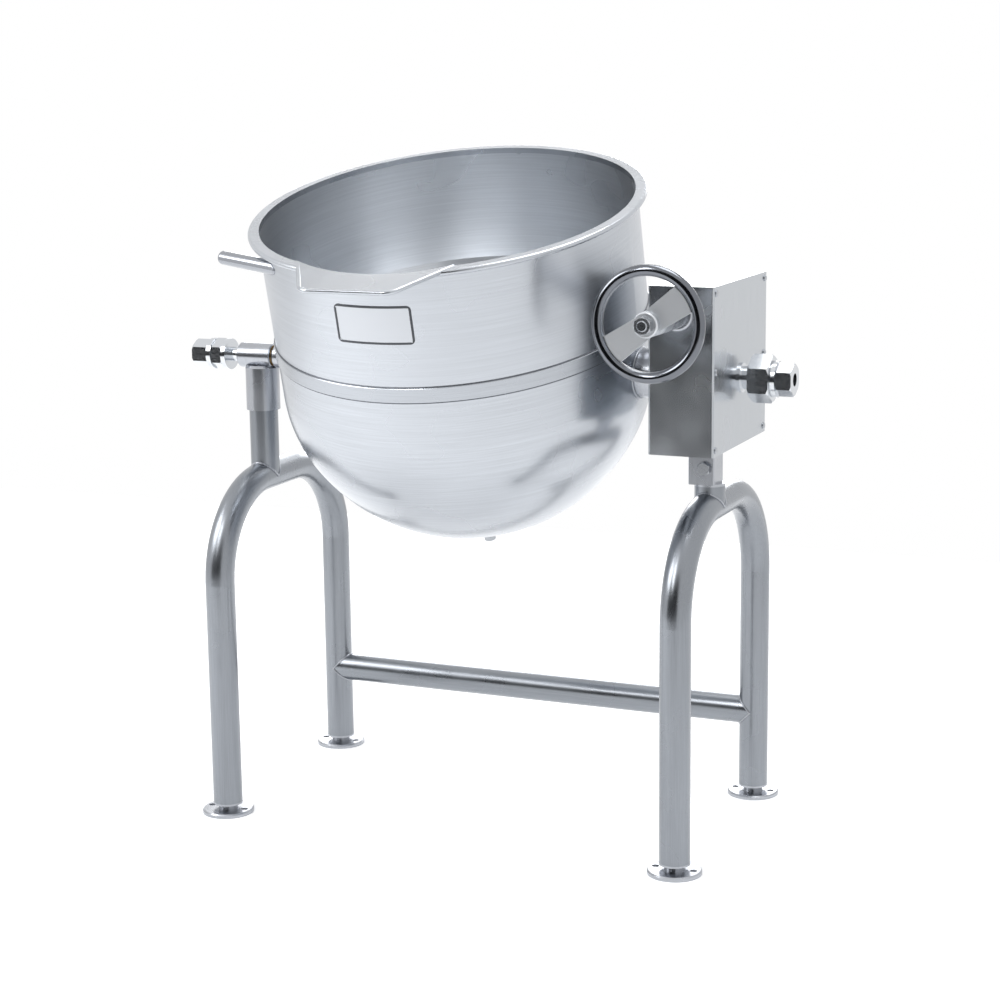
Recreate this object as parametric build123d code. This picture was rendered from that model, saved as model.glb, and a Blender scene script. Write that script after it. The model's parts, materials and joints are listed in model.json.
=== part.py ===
from build123d import *
import os
from math import acos, atan2, cos, degrees, pi, radians, sin, sqrt, tan

# Tilting steam jacketed kettle: a double-walled bowl on two hollow trunnions, carried by a stand
# of two bent-tube arches. Steam enters through the right trunnion and condensate leaves through
# the left one. A handwheel turns a worm, whose worm wheel is keyed to the right trunnion.
# Millimetres. Origin: on the floor, midway between the four feet. +X is the gearbox side,
# -Y is the front, to which the kettle pours, and +Z is up.

# ---- Stand ----
FOOT_SPACING_X = 792.0
FOOT_SPACING_Y = 412.0
TUBE_DIAMETER = 48.3
TUBE_WALL = 2.6
ARCH_HEIGHT = 547.0            # centreline of the tube at the top of each arch
ARCH_BEND_RADIUS = 155.0
CROSS_TUBE_HEIGHT = 147.0
FOOT_DIAMETER = 86.0
FOOT_THICKNESS = 7.0
FOOT_NECK_DIAMETER = 32.0
FOOT_NECK_HEIGHT = 8.0
FOOT_COLLAR_THICKNESS = 3.0
FOOT_SPIGOT_LENGTH = 38.0
ANCHOR_HOLE_DIAMETER = 11.0
ANCHOR_HOLE_OFFSET = 31.0      # from the leg's centre, outwards and inwards along X
FOOT_PIN_DIAMETER = 6.0
SEAT_CLEARANCE = 0.1           # radial gap of a spigot in the tube or socket that it is fixed in

# ---- Trunnion axis and its bearings; the axis's height adds up from the right arch ----
TRUNNION_Y = -42.0
RUNNING_CLEARANCE = 0.05       # radial gap of a shaft in its bush
END_CLEARANCE = 0.3            # axial gap between faces that turn past each other
BUSH_WALL = 3.0
LEFT_SOCKET_DIAMETER = 57.0
LEFT_SOCKET_LENGTH = 91.0      # from the trunnion axis down over the post
LEFT_POST_DROP = 50.0          # from the trunnion axis down to the post's top
LEFT_BARREL_DIAMETER = 42.0
LEFT_BARREL_LENGTH = 62.0
LEFT_BARREL_OFFSET = -7.0      # the barrel's middle lies a little outside the post
RIGHT_POST_HEIGHT = 34.0       # above the arch's centreline
POST_CAP_THICKNESS = 4.0
POST_PLUG_LENGTH = 8.0
PEDESTAL_HEIGHT = 64.0
PEDESTAL_WIDTH = 42.0
PEDESTAL_DEPTH = 46.0
PEDESTAL_OFFSET_X = -5.0       # the pedestal stands a little inwards and forwards of its spigot
PEDESTAL_OFFSET_Y = -6.0
SPIGOT_DIAMETER = 24.0
SPIGOT_LENGTH = 52.0
PEDESTAL_BOLT_DIAMETER = 12.0

# ---- Gearbox ----
GEARBOX_LEFT = 343.0
GEARBOX_WIDTH = 103.0
GEARBOX_DEPTH = 280.0
GEARBOX_BELOW_AXIS = 103.0
GEARBOX_ABOVE_AXIS = 152.0
GEARBOX_WALL = 3.0
WORM_SETBACK = 46.0            # the worm wheel's middle, from the casing's left side
GEARBOX_CORNER_RADIUS = 4.0
GEARBOX_REAR_RADIUS = 16.0
COVER_FLANGE_WIDTH = 14.0
COVER_SCREW_DIAMETER = 5.0
BEARING_BARREL_DIAMETER = 60.0
BEARING_FLANGE_DIAMETER = 80.0
BEARING_FLANGE_THICKNESS = 6.0

# ---- Worm and worm wheel ----
GEAR_MODULE = 5.0
WHEEL_TEETH = 36
WHEEL_FACE_WIDTH = 28.0
WHEEL_RIM_THICKNESS = 12.0
WHEEL_WEB_THICKNESS = 10.0
WHEEL_HUB_DIAMETER = 64.0
WHEEL_HUB_LENGTH = 36.0
WHEEL_WEB_HOLES = 6
WORM_PITCH_DIAMETER = 40.0
WORM_LENGTH = 76.0
PRESSURE_ANGLE = 20.0
MESH_BACKLASH = 0.6            # along the pitch line, shared by both flanks
WORM_SHAFT_DIAMETER = 20.0
SHAFT_COLLAR_DIAMETER = 34.0
SHAFT_COLLAR_LENGTH = 10.0
SLEEVE_DIAMETER = 39.0
SLEEVE_LENGTH = 102.0          # in front of the gearbox
SLEEVE_INSET = 7.0             # how far the sleeve reaches into the gearbox
SLEEVE_FLANGE_DIAMETER = 50.0
SLEEVE_FLANGE_THICKNESS = 5.0
WORM_BUSH_WALL = 3.0
WORM_BUSH_LENGTH = 25.0
REAR_BOSS_DIAMETER = 44.0

# ---- Handwheel ----
HANDWHEEL_DIAMETER = 172.0
HANDWHEEL_RIM_DIAMETER = 17.0
HANDWHEEL_HUB_DIAMETER = 38.0
HANDWHEEL_HUB_LENGTH = 40.0
HANDWHEEL_SETBACK = 26.0       # rim plane in front of the hub's rear face
SPOKE_ANGLE = 35.0             # rest angle of the two-armed spoke, seen from the front
SPOKE_THICKNESS = 8.0
SPOKE_WIDTH_HUB = 34.0
SPOKE_WIDTH_RIM = 46.0
HANDWHEEL_STUD_DIAMETER = 16.0
HANDWHEEL_NUT_ACROSS_FLATS = 24.0

# ---- Kettle, in its own frame: centre of the trunnion axis, rim up ----
KETTLE_X = -16.0
REST_TILT = 15.0               # the kettle rests tipped this far towards the front
KETTLE_DIAMETER = 600.0        # outside, upper wall and jacket alike
SHELL_WALL = 3.0
RIM_HEIGHT = 271.0             # top of the rim above the trunnion axis
RIM_WIDTH = 18.0
RIM_THICKNESS = 9.0
SEAM_BOTTOM = 62.0
SEAM_BAND_HEIGHT = 24.0
SEAM_BAND_THICKNESS = 2.6
JACKET_LAP = 6.0               # how far the jacket's edge reaches up behind the seam band
JOGGLE_GAP_HEIGHT = 2.0        # from the jacket's edge to the foot of the bowl's step
JOGGLE_DROP = 10.0             # height over which the bowl steps in behind the jacket's edge
JOGGLE_GAP = 0.3
BOWL_DEPTH = 238.0             # outside of the bowl's bottom below the trunnion axis
JACKET_DEPTH = 278.0           # outside of the jacket's bottom below the trunnion axis
STEAM_SPACE = 13.0             # from the bowl to the jacket at the top of their heads
HEAD_DEPTH_SHARE = 0.91        # depth of a pressed head, as a share of its radius
HEAD_KNUCKLE_SHARE = 0.85      # radius of a head's turned edge, as a share of the head's depth
LIP_ROOT_WIDTH = 220.0
LIP_TIP_WIDTH = 146.0
LIP_REACH = 70.0               # from the kettle's wall to the middle of the lip's rolled edge
LIP_CORNER_RADIUS = 24.0
LIP_SAG = 8.0                  # depth of the lip's trough where it leaves the wall
LIP_EDGE_SAG = 1.5             # depth that is left of it at the pouring edge
LIP_SLOPE = 2.5                # fall of the lip towards its edge
LIP_BEAD_DIAMETER = 7.0
HANDLE_DIAMETER = 22.0
HANDLE_REACH = 108.0
HANDLE_HEIGHT = 240.0
HANDLE_ROOT_ANGLE = 45.0       # from the front towards the left
HANDLE_YAW = 19.0              # how far the bar points to the rear of straight left
PLATE_WIDTH = 126.0
PLATE_HEIGHT = 60.0
PLATE_THICKNESS = 1.2
PLATE_BORDER = 3.0
PLATE_CENTRE_HEIGHT = 186.0
PLATE_CORNER_RADIUS = 7.0

# ---- Trunnions, steam inlet and condensate outlet ----
RIGHT_TRUNNION_DIAMETER = 40.0
RIGHT_HUB_DIAMETER = 78.0
LEFT_TRUNNION_DIAMETER = 30.0
LEFT_HUB_DIAMETER = 40.0
HUB_RUNNING_GAP = 3.0
GLAND_CLEARANCE = 0.5          # radial gap of a trunnion's spigot in its gland
THREAD_CLEARANCE = 0.3         # radial gap of a union nut on its gland and tailpiece
SEAL_RING_THICKNESS = 5.0
UNION_COLLAR_THICKNESS = 4.0
INLET_SPIGOT_DIAMETER = 28.0
INLET_BORE = 20.0
INLET_BASE_DIAMETER = 46.0
INLET_BASE_THICKNESS = 3.0
INLET_NECK_DIAMETER = 36.0
INLET_NECK_LENGTH = 18.0
INLET_HEAD_DIAMETER = 48.0
INLET_HEAD_LENGTH = 12.0
INLET_NUT_ACROSS_FLATS = 66.0
INLET_NUT_LENGTH = 33.0
INLET_TAIL_DIAMETER = 32.0
INLET_TAIL_FLANGE_DIAMETER = 56.0
INLET_TAIL_FLANGE_THICKNESS = 8.0
INLET_TAIL_ACROSS_FLATS = 46.0
INLET_TAIL_HEX_LENGTH = 25.0
OUTLET_SPIGOT_DIAMETER = 16.0
OUTLET_BORE = 10.0
OUTLET_BASE_DIAMETER = 30.0
OUTLET_BASE_THICKNESS = 3.0
OUTLET_NECK_DIAMETER = 24.0
OUTLET_NECK_LENGTH = 20.0
OUTLET_HEAD_DIAMETER = 52.0
OUTLET_HEAD_LENGTH = 8.0
OUTLET_NUT_ACROSS_FLATS = 46.0
OUTLET_NUT_LENGTH = 20.0
OUTLET_TAIL_DIAMETER = 20.0
OUTLET_TAIL_FLANGE_DIAMETER = 52.0
OUTLET_TAIL_FLANGE_THICKNESS = 8.0
OUTLET_TAIL_ACROSS_FLATS = 41.0
OUTLET_TAIL_HEX_LENGTH = 30.0
SIPHON_DIAMETER = 5.0
SIPHON_BORE = 3.0
SIPHON_INSERT = 25.0           # how far the tube reaches into the trunnion from the jacket's outside
SIPHON_BEND_RADIUS = 6.0
SIPHON_LAYOUT_RADIUS = 300.0   # kettle radius at which the next four values hold; they grow with it
SIPHON_TURNS = [(284.1, 212.0), (237.0, 119.0), (120.0, 26.0)]  # out from the axis, up from half depth
SIPHON_TURN_RADII = [60.0, 90.0, 90.0]
SIPHON_TIP_REACH = 36.0
SIPHON_TIP_RISE = 6.0          # above three quarters of the way from the bowl down to the jacket
DRAIN_BOSS_DIAMETER = 36.0
DRAIN_BOSS_HEIGHT = 8.0
DRAIN_NIPPLE_DIAMETER = 22.0
DRAIN_NIPPLE_LENGTH = 28.0
DRAIN_PLUG_ACROSS_FLATS = 19.0
DRAIN_PLUG_HEAD = 10.0

# ---- Places worked out from the sizes above ----
TUBE_RADIUS = TUBE_DIAMETER / 2
TUBE_INNER_RADIUS = TUBE_RADIUS - TUBE_WALL
LEG_X = FOOT_SPACING_X / 2
LEG_Y = FOOT_SPACING_Y / 2
LEG_BOTTOM = FOOT_THICKNESS + FOOT_NECK_HEIGHT + FOOT_COLLAR_THICKNESS
RIGHT_POST_TOP = ARCH_HEIGHT + RIGHT_POST_HEIGHT
PEDESTAL_BOTTOM = RIGHT_POST_TOP + POST_CAP_THICKNESS
TRUNNION_HEIGHT = PEDESTAL_BOTTOM + PEDESTAL_HEIGHT + GEARBOX_BELOW_AXIS
LEFT_SOCKET_BOTTOM = TRUNNION_HEIGHT - LEFT_SOCKET_LENGTH
LEFT_POST_TOP = TRUNNION_HEIGHT - LEFT_POST_DROP

GEARBOX_RIGHT = GEARBOX_LEFT + GEARBOX_WIDTH
GEARBOX_FRONT = TRUNNION_Y - GEARBOX_DEPTH / 2
GEARBOX_REAR = TRUNNION_Y + GEARBOX_DEPTH / 2
GEARBOX_BOTTOM = TRUNNION_HEIGHT - GEARBOX_BELOW_AXIS
GEARBOX_TOP = TRUNNION_HEIGHT + GEARBOX_ABOVE_AXIS
GEARBOX_INNER_LEFT = GEARBOX_LEFT + GEARBOX_WALL
COVER_INNER = GEARBOX_RIGHT - GEARBOX_WALL

AXIAL_PITCH = pi * GEAR_MODULE
WHEEL_PITCH_RADIUS = GEAR_MODULE * WHEEL_TEETH / 2
WHEEL_TIP_RADIUS = WHEEL_PITCH_RADIUS + GEAR_MODULE
WHEEL_ROOT_RADIUS = WHEEL_PITCH_RADIUS - 1.2 * GEAR_MODULE
WORM_PITCH_RADIUS = WORM_PITCH_DIAMETER / 2
WORM_TIP_RADIUS = WORM_PITCH_RADIUS + GEAR_MODULE
WORM_ROOT_RADIUS = WORM_PITCH_RADIUS - 1.2 * GEAR_MODULE
WORM_X = GEARBOX_LEFT + WORM_SETBACK
WORM_HEIGHT = TRUNNION_HEIGHT + WHEEL_PITCH_RADIUS + WORM_PITCH_RADIUS
TOOTH_THICKNESS = AXIAL_PITCH / 2 - MESH_BACKLASH / 2
SLEEVE_FRONT = GEARBOX_FRONT - SLEEVE_LENGTH
SLEEVE_REAR = GEARBOX_FRONT + GEARBOX_WALL + SLEEVE_INSET
REAR_BUSH_FRONT = GEARBOX_REAR - GEARBOX_WALL - WORM_BUSH_LENGTH
HANDWHEEL_REAR = SLEEVE_FRONT - END_CLEARANCE
HANDWHEEL_FRONT = HANDWHEEL_REAR - HANDWHEEL_HUB_LENGTH
HANDWHEEL_PLANE = HANDWHEEL_REAR - HANDWHEEL_SETBACK

KETTLE_RADIUS = KETTLE_DIAMETER / 2
BOWL_INNER_RADIUS = KETTLE_RADIUS - SHELL_WALL
RIM_RADIUS = BOWL_INNER_RADIUS + RIM_WIDTH
RIM_BOTTOM = RIM_HEIGHT - RIM_THICKNESS
JACKET_TOP = SEAM_BOTTOM + JACKET_LAP
JOGGLE_TOP = JACKET_TOP + JOGGLE_GAP_HEIGHT + JOGGLE_DROP
BOWL_SKIRT_RADIUS = KETTLE_RADIUS - SHELL_WALL - JOGGLE_GAP
BOWL_HEAD_RADIUS = KETTLE_RADIUS - SHELL_WALL - STEAM_SPACE
BOWL_HEAD_TOP = HEAD_DEPTH_SHARE * BOWL_HEAD_RADIUS - BOWL_DEPTH
JACKET_HEAD_TOP = HEAD_DEPTH_SHARE * KETTLE_RADIUS - JACKET_DEPTH

LEFT_BARREL_OUTER = -LEG_X + LEFT_BARREL_OFFSET - LEFT_BARREL_LENGTH / 2
LEFT_BARREL_INNER = LEFT_BARREL_OUTER + LEFT_BARREL_LENGTH
INNER_BEARING_END = WORM_X - WHEEL_HUB_LENGTH / 2 - END_CLEARANCE
OUTER_BEARING_START = WORM_X + WHEEL_HUB_LENGTH / 2 + END_CLEARANCE


# ---- Helpers ----
def rod(start, end, diameter, bore=0.0):
    """A round bar or tube between two points."""
    line = Line(start, end)
    section = Plane(origin=line @ 0, z_dir=line % 0)
    face = section * Circle(diameter / 2)
    if bore:
        face = face - section * Circle(bore / 2)
    return extrude(face, amount=line.length)


def x_rod(x_start, x_end, y, z, diameter, bore=0.0):
    return rod((x_start, y, z), (x_end, y, z), diameter, bore)


def y_rod(y_start, y_end, x, z, diameter, bore=0.0):
    return rod((x, y_start, z), (x, y_end, z), diameter, bore)


def z_rod(z_start, z_end, x, y, diameter, bore=0.0):
    return rod((x, y, z_start), (x, y, z_end), diameter, bore)


def hexagon_bar(start, end, across_flats, bore=0.0, chamfer_depth=2.0):
    """A hexagonal bar with turned ends, as a nut or a wrench flat has."""
    line = Line(start, end)
    section = Plane(origin=line @ 0, z_dir=line % 0)
    corner_radius = across_flats / sqrt(3)
    bar = extrude(section * RegularPolygon(corner_radius, 6), amount=line.length)
    turned = extrude(section * Circle(corner_radius), amount=line.length)
    ends = turned.edges().filter_by(GeomType.CIRCLE)
    bar = bar & chamfer(ends, chamfer_depth)
    if bore:
        bar = bar - extrude(section * Circle(bore / 2), amount=line.length)
    return bar


def slab(x_range, y_range, z_range):
    """A block between two values on each axis."""
    sizes = [high - low for low, high in (x_range, y_range, z_range)]
    centre = [(low + high) / 2 for low, high in (x_range, y_range, z_range)]
    return Pos(*centre) * Box(*sizes)


def place(kettle_part):
    """Puts a part of the kettle from the kettle's own frame where it is at rest."""
    return Pos(KETTLE_X, TRUNNION_Y, TRUNNION_HEIGHT) * Rot(REST_TILT, 0, 0) * kettle_part


# ---- Stand ----
def arch_path(x):
    front_leg = [(x, -LEG_Y, LEG_BOTTOM), (x, -LEG_Y, ARCH_HEIGHT)]
    rear_leg = [(x, LEG_Y, ARCH_HEIGHT), (x, LEG_Y, LEG_BOTTOM)]
    corners = front_leg + rear_leg
    return FilletPolyline(*corners, radius=ARCH_BEND_RADIUS)


def swept_tube(path, outer_radius, inner_radius=0.0):
    section = Plane(origin=path @ 0, z_dir=path % 0)
    face = section * Circle(outer_radius)
    if inner_radius:
        face = face - section * Circle(inner_radius)
    return sweep(face, path=path)


def leg_arch(x):
    return swept_tube(arch_path(x), TUBE_RADIUS, TUBE_INNER_RADIUS)


def cross_tube():
    """The tube between the two rear legs, its ends coped to their round sides."""
    tube = x_rod(-LEG_X, LEG_X, LEG_Y, CROSS_TUBE_HEIGHT, TUBE_DIAMETER, 2 * TUBE_INNER_RADIUS)
    for x in (-LEG_X, LEG_X):
        tube = tube - z_rod(LEG_BOTTOM, ARCH_HEIGHT / 2, x, LEG_Y, TUBE_DIAMETER)
    return tube


def post(x, top):
    """A tube that stands on the arch under the trunnion axis, coped to it."""
    tube = z_rod(ARCH_HEIGHT, top, x, TRUNNION_Y, TUBE_DIAMETER, 2 * TUBE_INNER_RADIUS)
    return tube - swept_tube(arch_path(x), TUBE_RADIUS)


def foot(x, y):
    """A flanged foot: a disc with two anchor holes, a neck, and a spigot up inside the leg."""
    neck_top = FOOT_THICKNESS + FOOT_NECK_HEIGHT
    disc = Cylinder(FOOT_DIAMETER / 2, FOOT_THICKNESS, align=(Align.CENTER, Align.CENTER, Align.MIN))
    disc = chamfer(disc.edges().group_by(Axis.Z)[-1], FOOT_THICKNESS / 3)
    neck = z_rod(FOOT_THICKNESS, neck_top, 0, 0, FOOT_NECK_DIAMETER)
    collar = z_rod(neck_top, LEG_BOTTOM, 0, 0, TUBE_DIAMETER)
    spigot_diameter = 2 * (TUBE_INNER_RADIUS - SEAT_CLEARANCE)
    spigot = z_rod(LEG_BOTTOM, LEG_BOTTOM + FOOT_SPIGOT_LENGTH, 0, 0, spigot_diameter)
    solid = disc + neck + collar + spigot
    for side in (-1, 1):
        solid = solid - z_rod(0, FOOT_THICKNESS, side * ANCHOR_HOLE_OFFSET, 0, ANCHOR_HOLE_DIAMETER)
    return Pos(x, y, 0) * (solid - pin_hole())


def pin_hole():
    height = LEG_BOTTOM + FOOT_SPIGOT_LENGTH / 2
    return x_rod(-TUBE_RADIUS, TUBE_RADIUS, 0, height, FOOT_PIN_DIAMETER)


def foot_pins():
    """One cross pin in each foot's spigot, flush with the leg."""
    bore = z_rod(0, ARCH_HEIGHT / 2, 0, 0, 2 * (TUBE_INNER_RADIUS - SEAT_CLEARANCE))
    pin = pin_hole() & bore
    return [Pos(x, y, 0) * pin for x in (-LEG_X, LEG_X) for y in (-LEG_Y, LEG_Y)]


# ---- Left support and bearing ----
def left_support():
    """A socket over the left post, with the bearing barrel across its top."""
    barrel_radius = LEFT_BARREL_DIAMETER / 2
    socket_top = TRUNNION_HEIGHT - barrel_radius * 0.75
    socket = z_rod(LEFT_SOCKET_BOTTOM, socket_top, -LEG_X, TRUNNION_Y, LEFT_SOCKET_DIAMETER)
    socket = chamfer(socket.edges().group_by(Axis.Z)[-1], 4)
    barrel = x_rod(LEFT_BARREL_OUTER, LEFT_BARREL_INNER, TRUNNION_Y, TRUNNION_HEIGHT, LEFT_BARREL_DIAMETER)
    barrel = chamfer(barrel.edges().filter_by(GeomType.CIRCLE), 1.5)
    post_seat_diameter = TUBE_DIAMETER + 2 * SEAT_CLEARANCE
    post_seat = z_rod(LEFT_SOCKET_BOTTOM, LEFT_POST_TOP, -LEG_X, TRUNNION_Y, post_seat_diameter)
    bush_seat_diameter = LEFT_TRUNNION_DIAMETER + 2 * BUSH_WALL
    bush_seat = x_rod(LEFT_BARREL_OUTER, LEFT_BARREL_INNER, TRUNNION_Y, TRUNNION_HEIGHT, bush_seat_diameter)
    return socket + barrel - post_seat - bush_seat


def trunnion_bush(x_start, x_end, shaft_diameter):
    bore = shaft_diameter + 2 * RUNNING_CLEARANCE
    return x_rod(x_start, x_end, TRUNNION_Y, TRUNNION_HEIGHT, shaft_diameter + 2 * BUSH_WALL, bore)


# ---- Right post, pedestal and gearbox casing ----
def right_post_plug():
    """A cap on the right post with a plug below and the gearbox's spigot above."""
    plug_diameter = 2 * (TUBE_INNER_RADIUS - SEAT_CLEARANCE)
    plug = z_rod(RIGHT_POST_TOP - POST_PLUG_LENGTH, RIGHT_POST_TOP, LEG_X, TRUNNION_Y, plug_diameter)
    cap = z_rod(RIGHT_POST_TOP, PEDESTAL_BOTTOM, LEG_X, TRUNNION_Y, TUBE_DIAMETER)
    spigot = z_rod(PEDESTAL_BOTTOM, PEDESTAL_BOTTOM + SPIGOT_LENGTH, LEG_X, TRUNNION_Y, SPIGOT_DIAMETER)
    return plug + cap + chamfer(spigot.edges().group_by(Axis.Z)[-1], 2)


def pedestal_bounds():
    centre_x = LEG_X + PEDESTAL_OFFSET_X
    centre_y = TRUNNION_Y + PEDESTAL_OFFSET_Y
    x_range = (centre_x - PEDESTAL_WIDTH / 2, centre_x + PEDESTAL_WIDTH / 2)
    y_range = (centre_y - PEDESTAL_DEPTH / 2, centre_y + PEDESTAL_DEPTH / 2)
    return x_range, y_range


def pedestal_bolt_height():
    return (PEDESTAL_BOTTOM + GEARBOX_BOTTOM) / 2 - 6


def gearbox_pedestal():
    """The block under the gearbox that sits over the post's spigot."""
    x_range, y_range = pedestal_bounds()
    block = slab(x_range, y_range, (PEDESTAL_BOTTOM, GEARBOX_BOTTOM))
    block = chamfer(block.edges().filter_by(Axis.Z), 2)
    seat_diameter = SPIGOT_DIAMETER + 2 * SEAT_CLEARANCE
    seat = z_rod(PEDESTAL_BOTTOM, PEDESTAL_BOTTOM + SPIGOT_LENGTH + 2, LEG_X, TRUNNION_Y, seat_diameter)
    bolt = y_rod(y_range[0], TRUNNION_Y, LEG_X, pedestal_bolt_height(), PEDESTAL_BOLT_DIAMETER)
    return block - seat - bolt


def pedestal_bolt():
    """The bolt through the pedestal's front that locks it on the spigot."""
    front = pedestal_bounds()[1][0]
    height = pedestal_bolt_height()
    spigot_front = TRUNNION_Y - SPIGOT_DIAMETER / 2
    shank = y_rod(front, spigot_front, LEG_X, height, PEDESTAL_BOLT_DIAMETER)
    shank = shank - z_rod(PEDESTAL_BOTTOM, GEARBOX_BOTTOM, LEG_X, TRUNNION_Y, SPIGOT_DIAMETER)
    head_length = 0.6 * PEDESTAL_BOLT_DIAMETER
    across_flats = 1.6 * PEDESTAL_BOLT_DIAMETER
    head = hexagon_bar((LEG_X, front, height), (LEG_X, front - head_length, height), across_flats,
                       chamfer_depth=1.5)
    return shank + head


def gearbox_shape(inset=0.0):
    """The casing's outline, or its inside where inset is the wall."""
    block = slab((GEARBOX_LEFT + inset, GEARBOX_RIGHT - inset), (GEARBOX_FRONT + inset, GEARBOX_REAR - inset),
                 (GEARBOX_BOTTOM + inset, GEARBOX_TOP - inset))
    block = fillet(block.edges().filter_by(Axis.Z).group_by(Axis.Y)[-1], GEARBOX_REAR_RADIUS - inset)
    return fillet(block.edges().filter_by(Axis.Z).group_by(Axis.Y)[0], GEARBOX_CORNER_RADIUS - inset)


def cover_bounds():
    """The side cover reaches from the front edge to the start of the rear bend."""
    y_range = (GEARBOX_FRONT + GEARBOX_CORNER_RADIUS, GEARBOX_REAR - GEARBOX_REAR_RADIUS)
    return y_range, (GEARBOX_BOTTOM, GEARBOX_TOP)


def cover_screw_places():
    (y_low, y_high), (z_low, z_high) = cover_bounds()
    edge = COVER_FLANGE_WIDTH / 2
    return [(y, z) for y in (y_low + edge, y_high - edge)
            for z in (z_low + GEARBOX_WALL + edge, (z_low + z_high) / 2, z_high - GEARBOX_WALL - edge)]


def gearbox_housing():
    """The folded casing, open at its right side behind an inner flange for the cover."""
    casing = gearbox_shape() - gearbox_shape(GEARBOX_WALL)
    (y_low, y_high), (z_low, z_high) = cover_bounds()
    casing = casing - slab((COVER_INNER, GEARBOX_RIGHT), (y_low, y_high), (z_low, z_high))
    flange_depth = (COVER_INNER - GEARBOX_WALL, COVER_INNER)
    flange = gearbox_shape() & slab(flange_depth, (GEARBOX_FRONT, GEARBOX_REAR), (z_low, z_high))
    opening = slab(flange_depth, (y_low + COVER_FLANGE_WIDTH, y_high - COVER_FLANGE_WIDTH),
                   (z_low + GEARBOX_WALL + COVER_FLANGE_WIDTH, z_high - GEARBOX_WALL - COVER_FLANGE_WIDTH))
    casing = casing + (flange - opening)
    casing = casing - x_rod(GEARBOX_LEFT, GEARBOX_INNER_LEFT, TRUNNION_Y, TRUNNION_HEIGHT,
                            BEARING_BARREL_DIAMETER)
    casing = casing - y_rod(GEARBOX_FRONT, GEARBOX_FRONT + GEARBOX_WALL, WORM_X, WORM_HEIGHT, SLEEVE_DIAMETER)
    for y, z in cover_screw_places():
        casing = casing - x_rod(COVER_INNER - GEARBOX_WALL, COVER_INNER, y, z, COVER_SCREW_DIAMETER)
    return casing


def gearbox_cover():
    cover = slab((COVER_INNER, GEARBOX_RIGHT), *cover_bounds())
    shaft_hole = RIGHT_TRUNNION_DIAMETER + 2
    cover = cover - x_rod(COVER_INNER, GEARBOX_RIGHT, TRUNNION_Y, TRUNNION_HEIGHT, shaft_hole)
    for y, z in cover_screw_places():
        cover = cover - x_rod(COVER_INNER, GEARBOX_RIGHT, y, z, COVER_SCREW_DIAMETER)
    return cover


def cover_screws():
    """Six button-head screws that hold the cover to the casing's flange."""
    screws = []
    for y, z in cover_screw_places():
        shank = x_rod(COVER_INNER - GEARBOX_WALL, GEARBOX_RIGHT, y, z, COVER_SCREW_DIAMETER)
        head = x_rod(GEARBOX_RIGHT, GEARBOX_RIGHT + 2.5, y, z, 2 * COVER_SCREW_DIAMETER)
        outer_edge = head.edges().filter_by(GeomType.CIRCLE).sort_by(Axis.X)[-1]
        screws.append(shank + chamfer(outer_edge, 1.2))
    return screws


def inner_trunnion_bearing():
    """A flanged barrel in the casing's left wall."""
    seat = RIGHT_TRUNNION_DIAMETER + 2 * BUSH_WALL
    barrel = x_rod(GEARBOX_LEFT, INNER_BEARING_END, TRUNNION_Y, TRUNNION_HEIGHT, BEARING_BARREL_DIAMETER, seat)
    flange = x_rod(GEARBOX_INNER_LEFT, GEARBOX_INNER_LEFT + BEARING_FLANGE_THICKNESS, TRUNNION_Y, TRUNNION_HEIGHT,
                   BEARING_FLANGE_DIAMETER, seat)
    return barrel + flange


def outer_trunnion_bearing():
    """A flanged barrel behind the cover."""
    seat = RIGHT_TRUNNION_DIAMETER + 2 * BUSH_WALL
    barrel = x_rod(OUTER_BEARING_START, COVER_INNER, TRUNNION_Y, TRUNNION_HEIGHT, BEARING_BARREL_DIAMETER, seat)
    flange = x_rod(COVER_INNER - BEARING_FLANGE_THICKNESS, COVER_INNER, TRUNNION_Y, TRUNNION_HEIGHT,
                   BEARING_FLANGE_DIAMETER, seat)
    return barrel + flange


# ---- Worm drive ----
def worm_sleeve():
    """The long boss in front of the gearbox that carries the worm shaft."""
    bush_seat = WORM_SHAFT_DIAMETER + 2 * WORM_BUSH_WALL
    sleeve = y_rod(SLEEVE_FRONT, SLEEVE_REAR, WORM_X, WORM_HEIGHT, SLEEVE_DIAMETER)
    flange_front = GEARBOX_FRONT - SLEEVE_FLANGE_THICKNESS
    flange = y_rod(flange_front, GEARBOX_FRONT, WORM_X, WORM_HEIGHT, SLEEVE_FLANGE_DIAMETER)
    front_edge = flange.edges().filter_by(GeomType.CIRCLE).sort_by(Axis.Y)[0]
    flange = fillet(front_edge, SLEEVE_FLANGE_THICKNESS * 0.8)
    solid = sleeve + flange
    solid = chamfer(solid.edges().filter_by(GeomType.CIRCLE).sort_by(Axis.Y)[0], 1.5)
    return solid - y_rod(SLEEVE_FRONT, SLEEVE_REAR, WORM_X, WORM_HEIGHT, bush_seat)


def worm_bush(y_start):
    outer = WORM_SHAFT_DIAMETER + 2 * WORM_BUSH_WALL
    bore = WORM_SHAFT_DIAMETER + 2 * RUNNING_CLEARANCE
    return y_rod(y_start, y_start + WORM_BUSH_LENGTH, WORM_X, WORM_HEIGHT, outer, bore)


def rear_boss():
    """The blind boss on the rear wall that carries the worm shaft's far end."""
    seat = WORM_SHAFT_DIAMETER + 2 * WORM_BUSH_WALL
    return y_rod(REAR_BUSH_FRONT, GEARBOX_REAR - GEARBOX_WALL, WORM_X, WORM_HEIGHT, REAR_BOSS_DIAMETER, seat)


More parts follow.
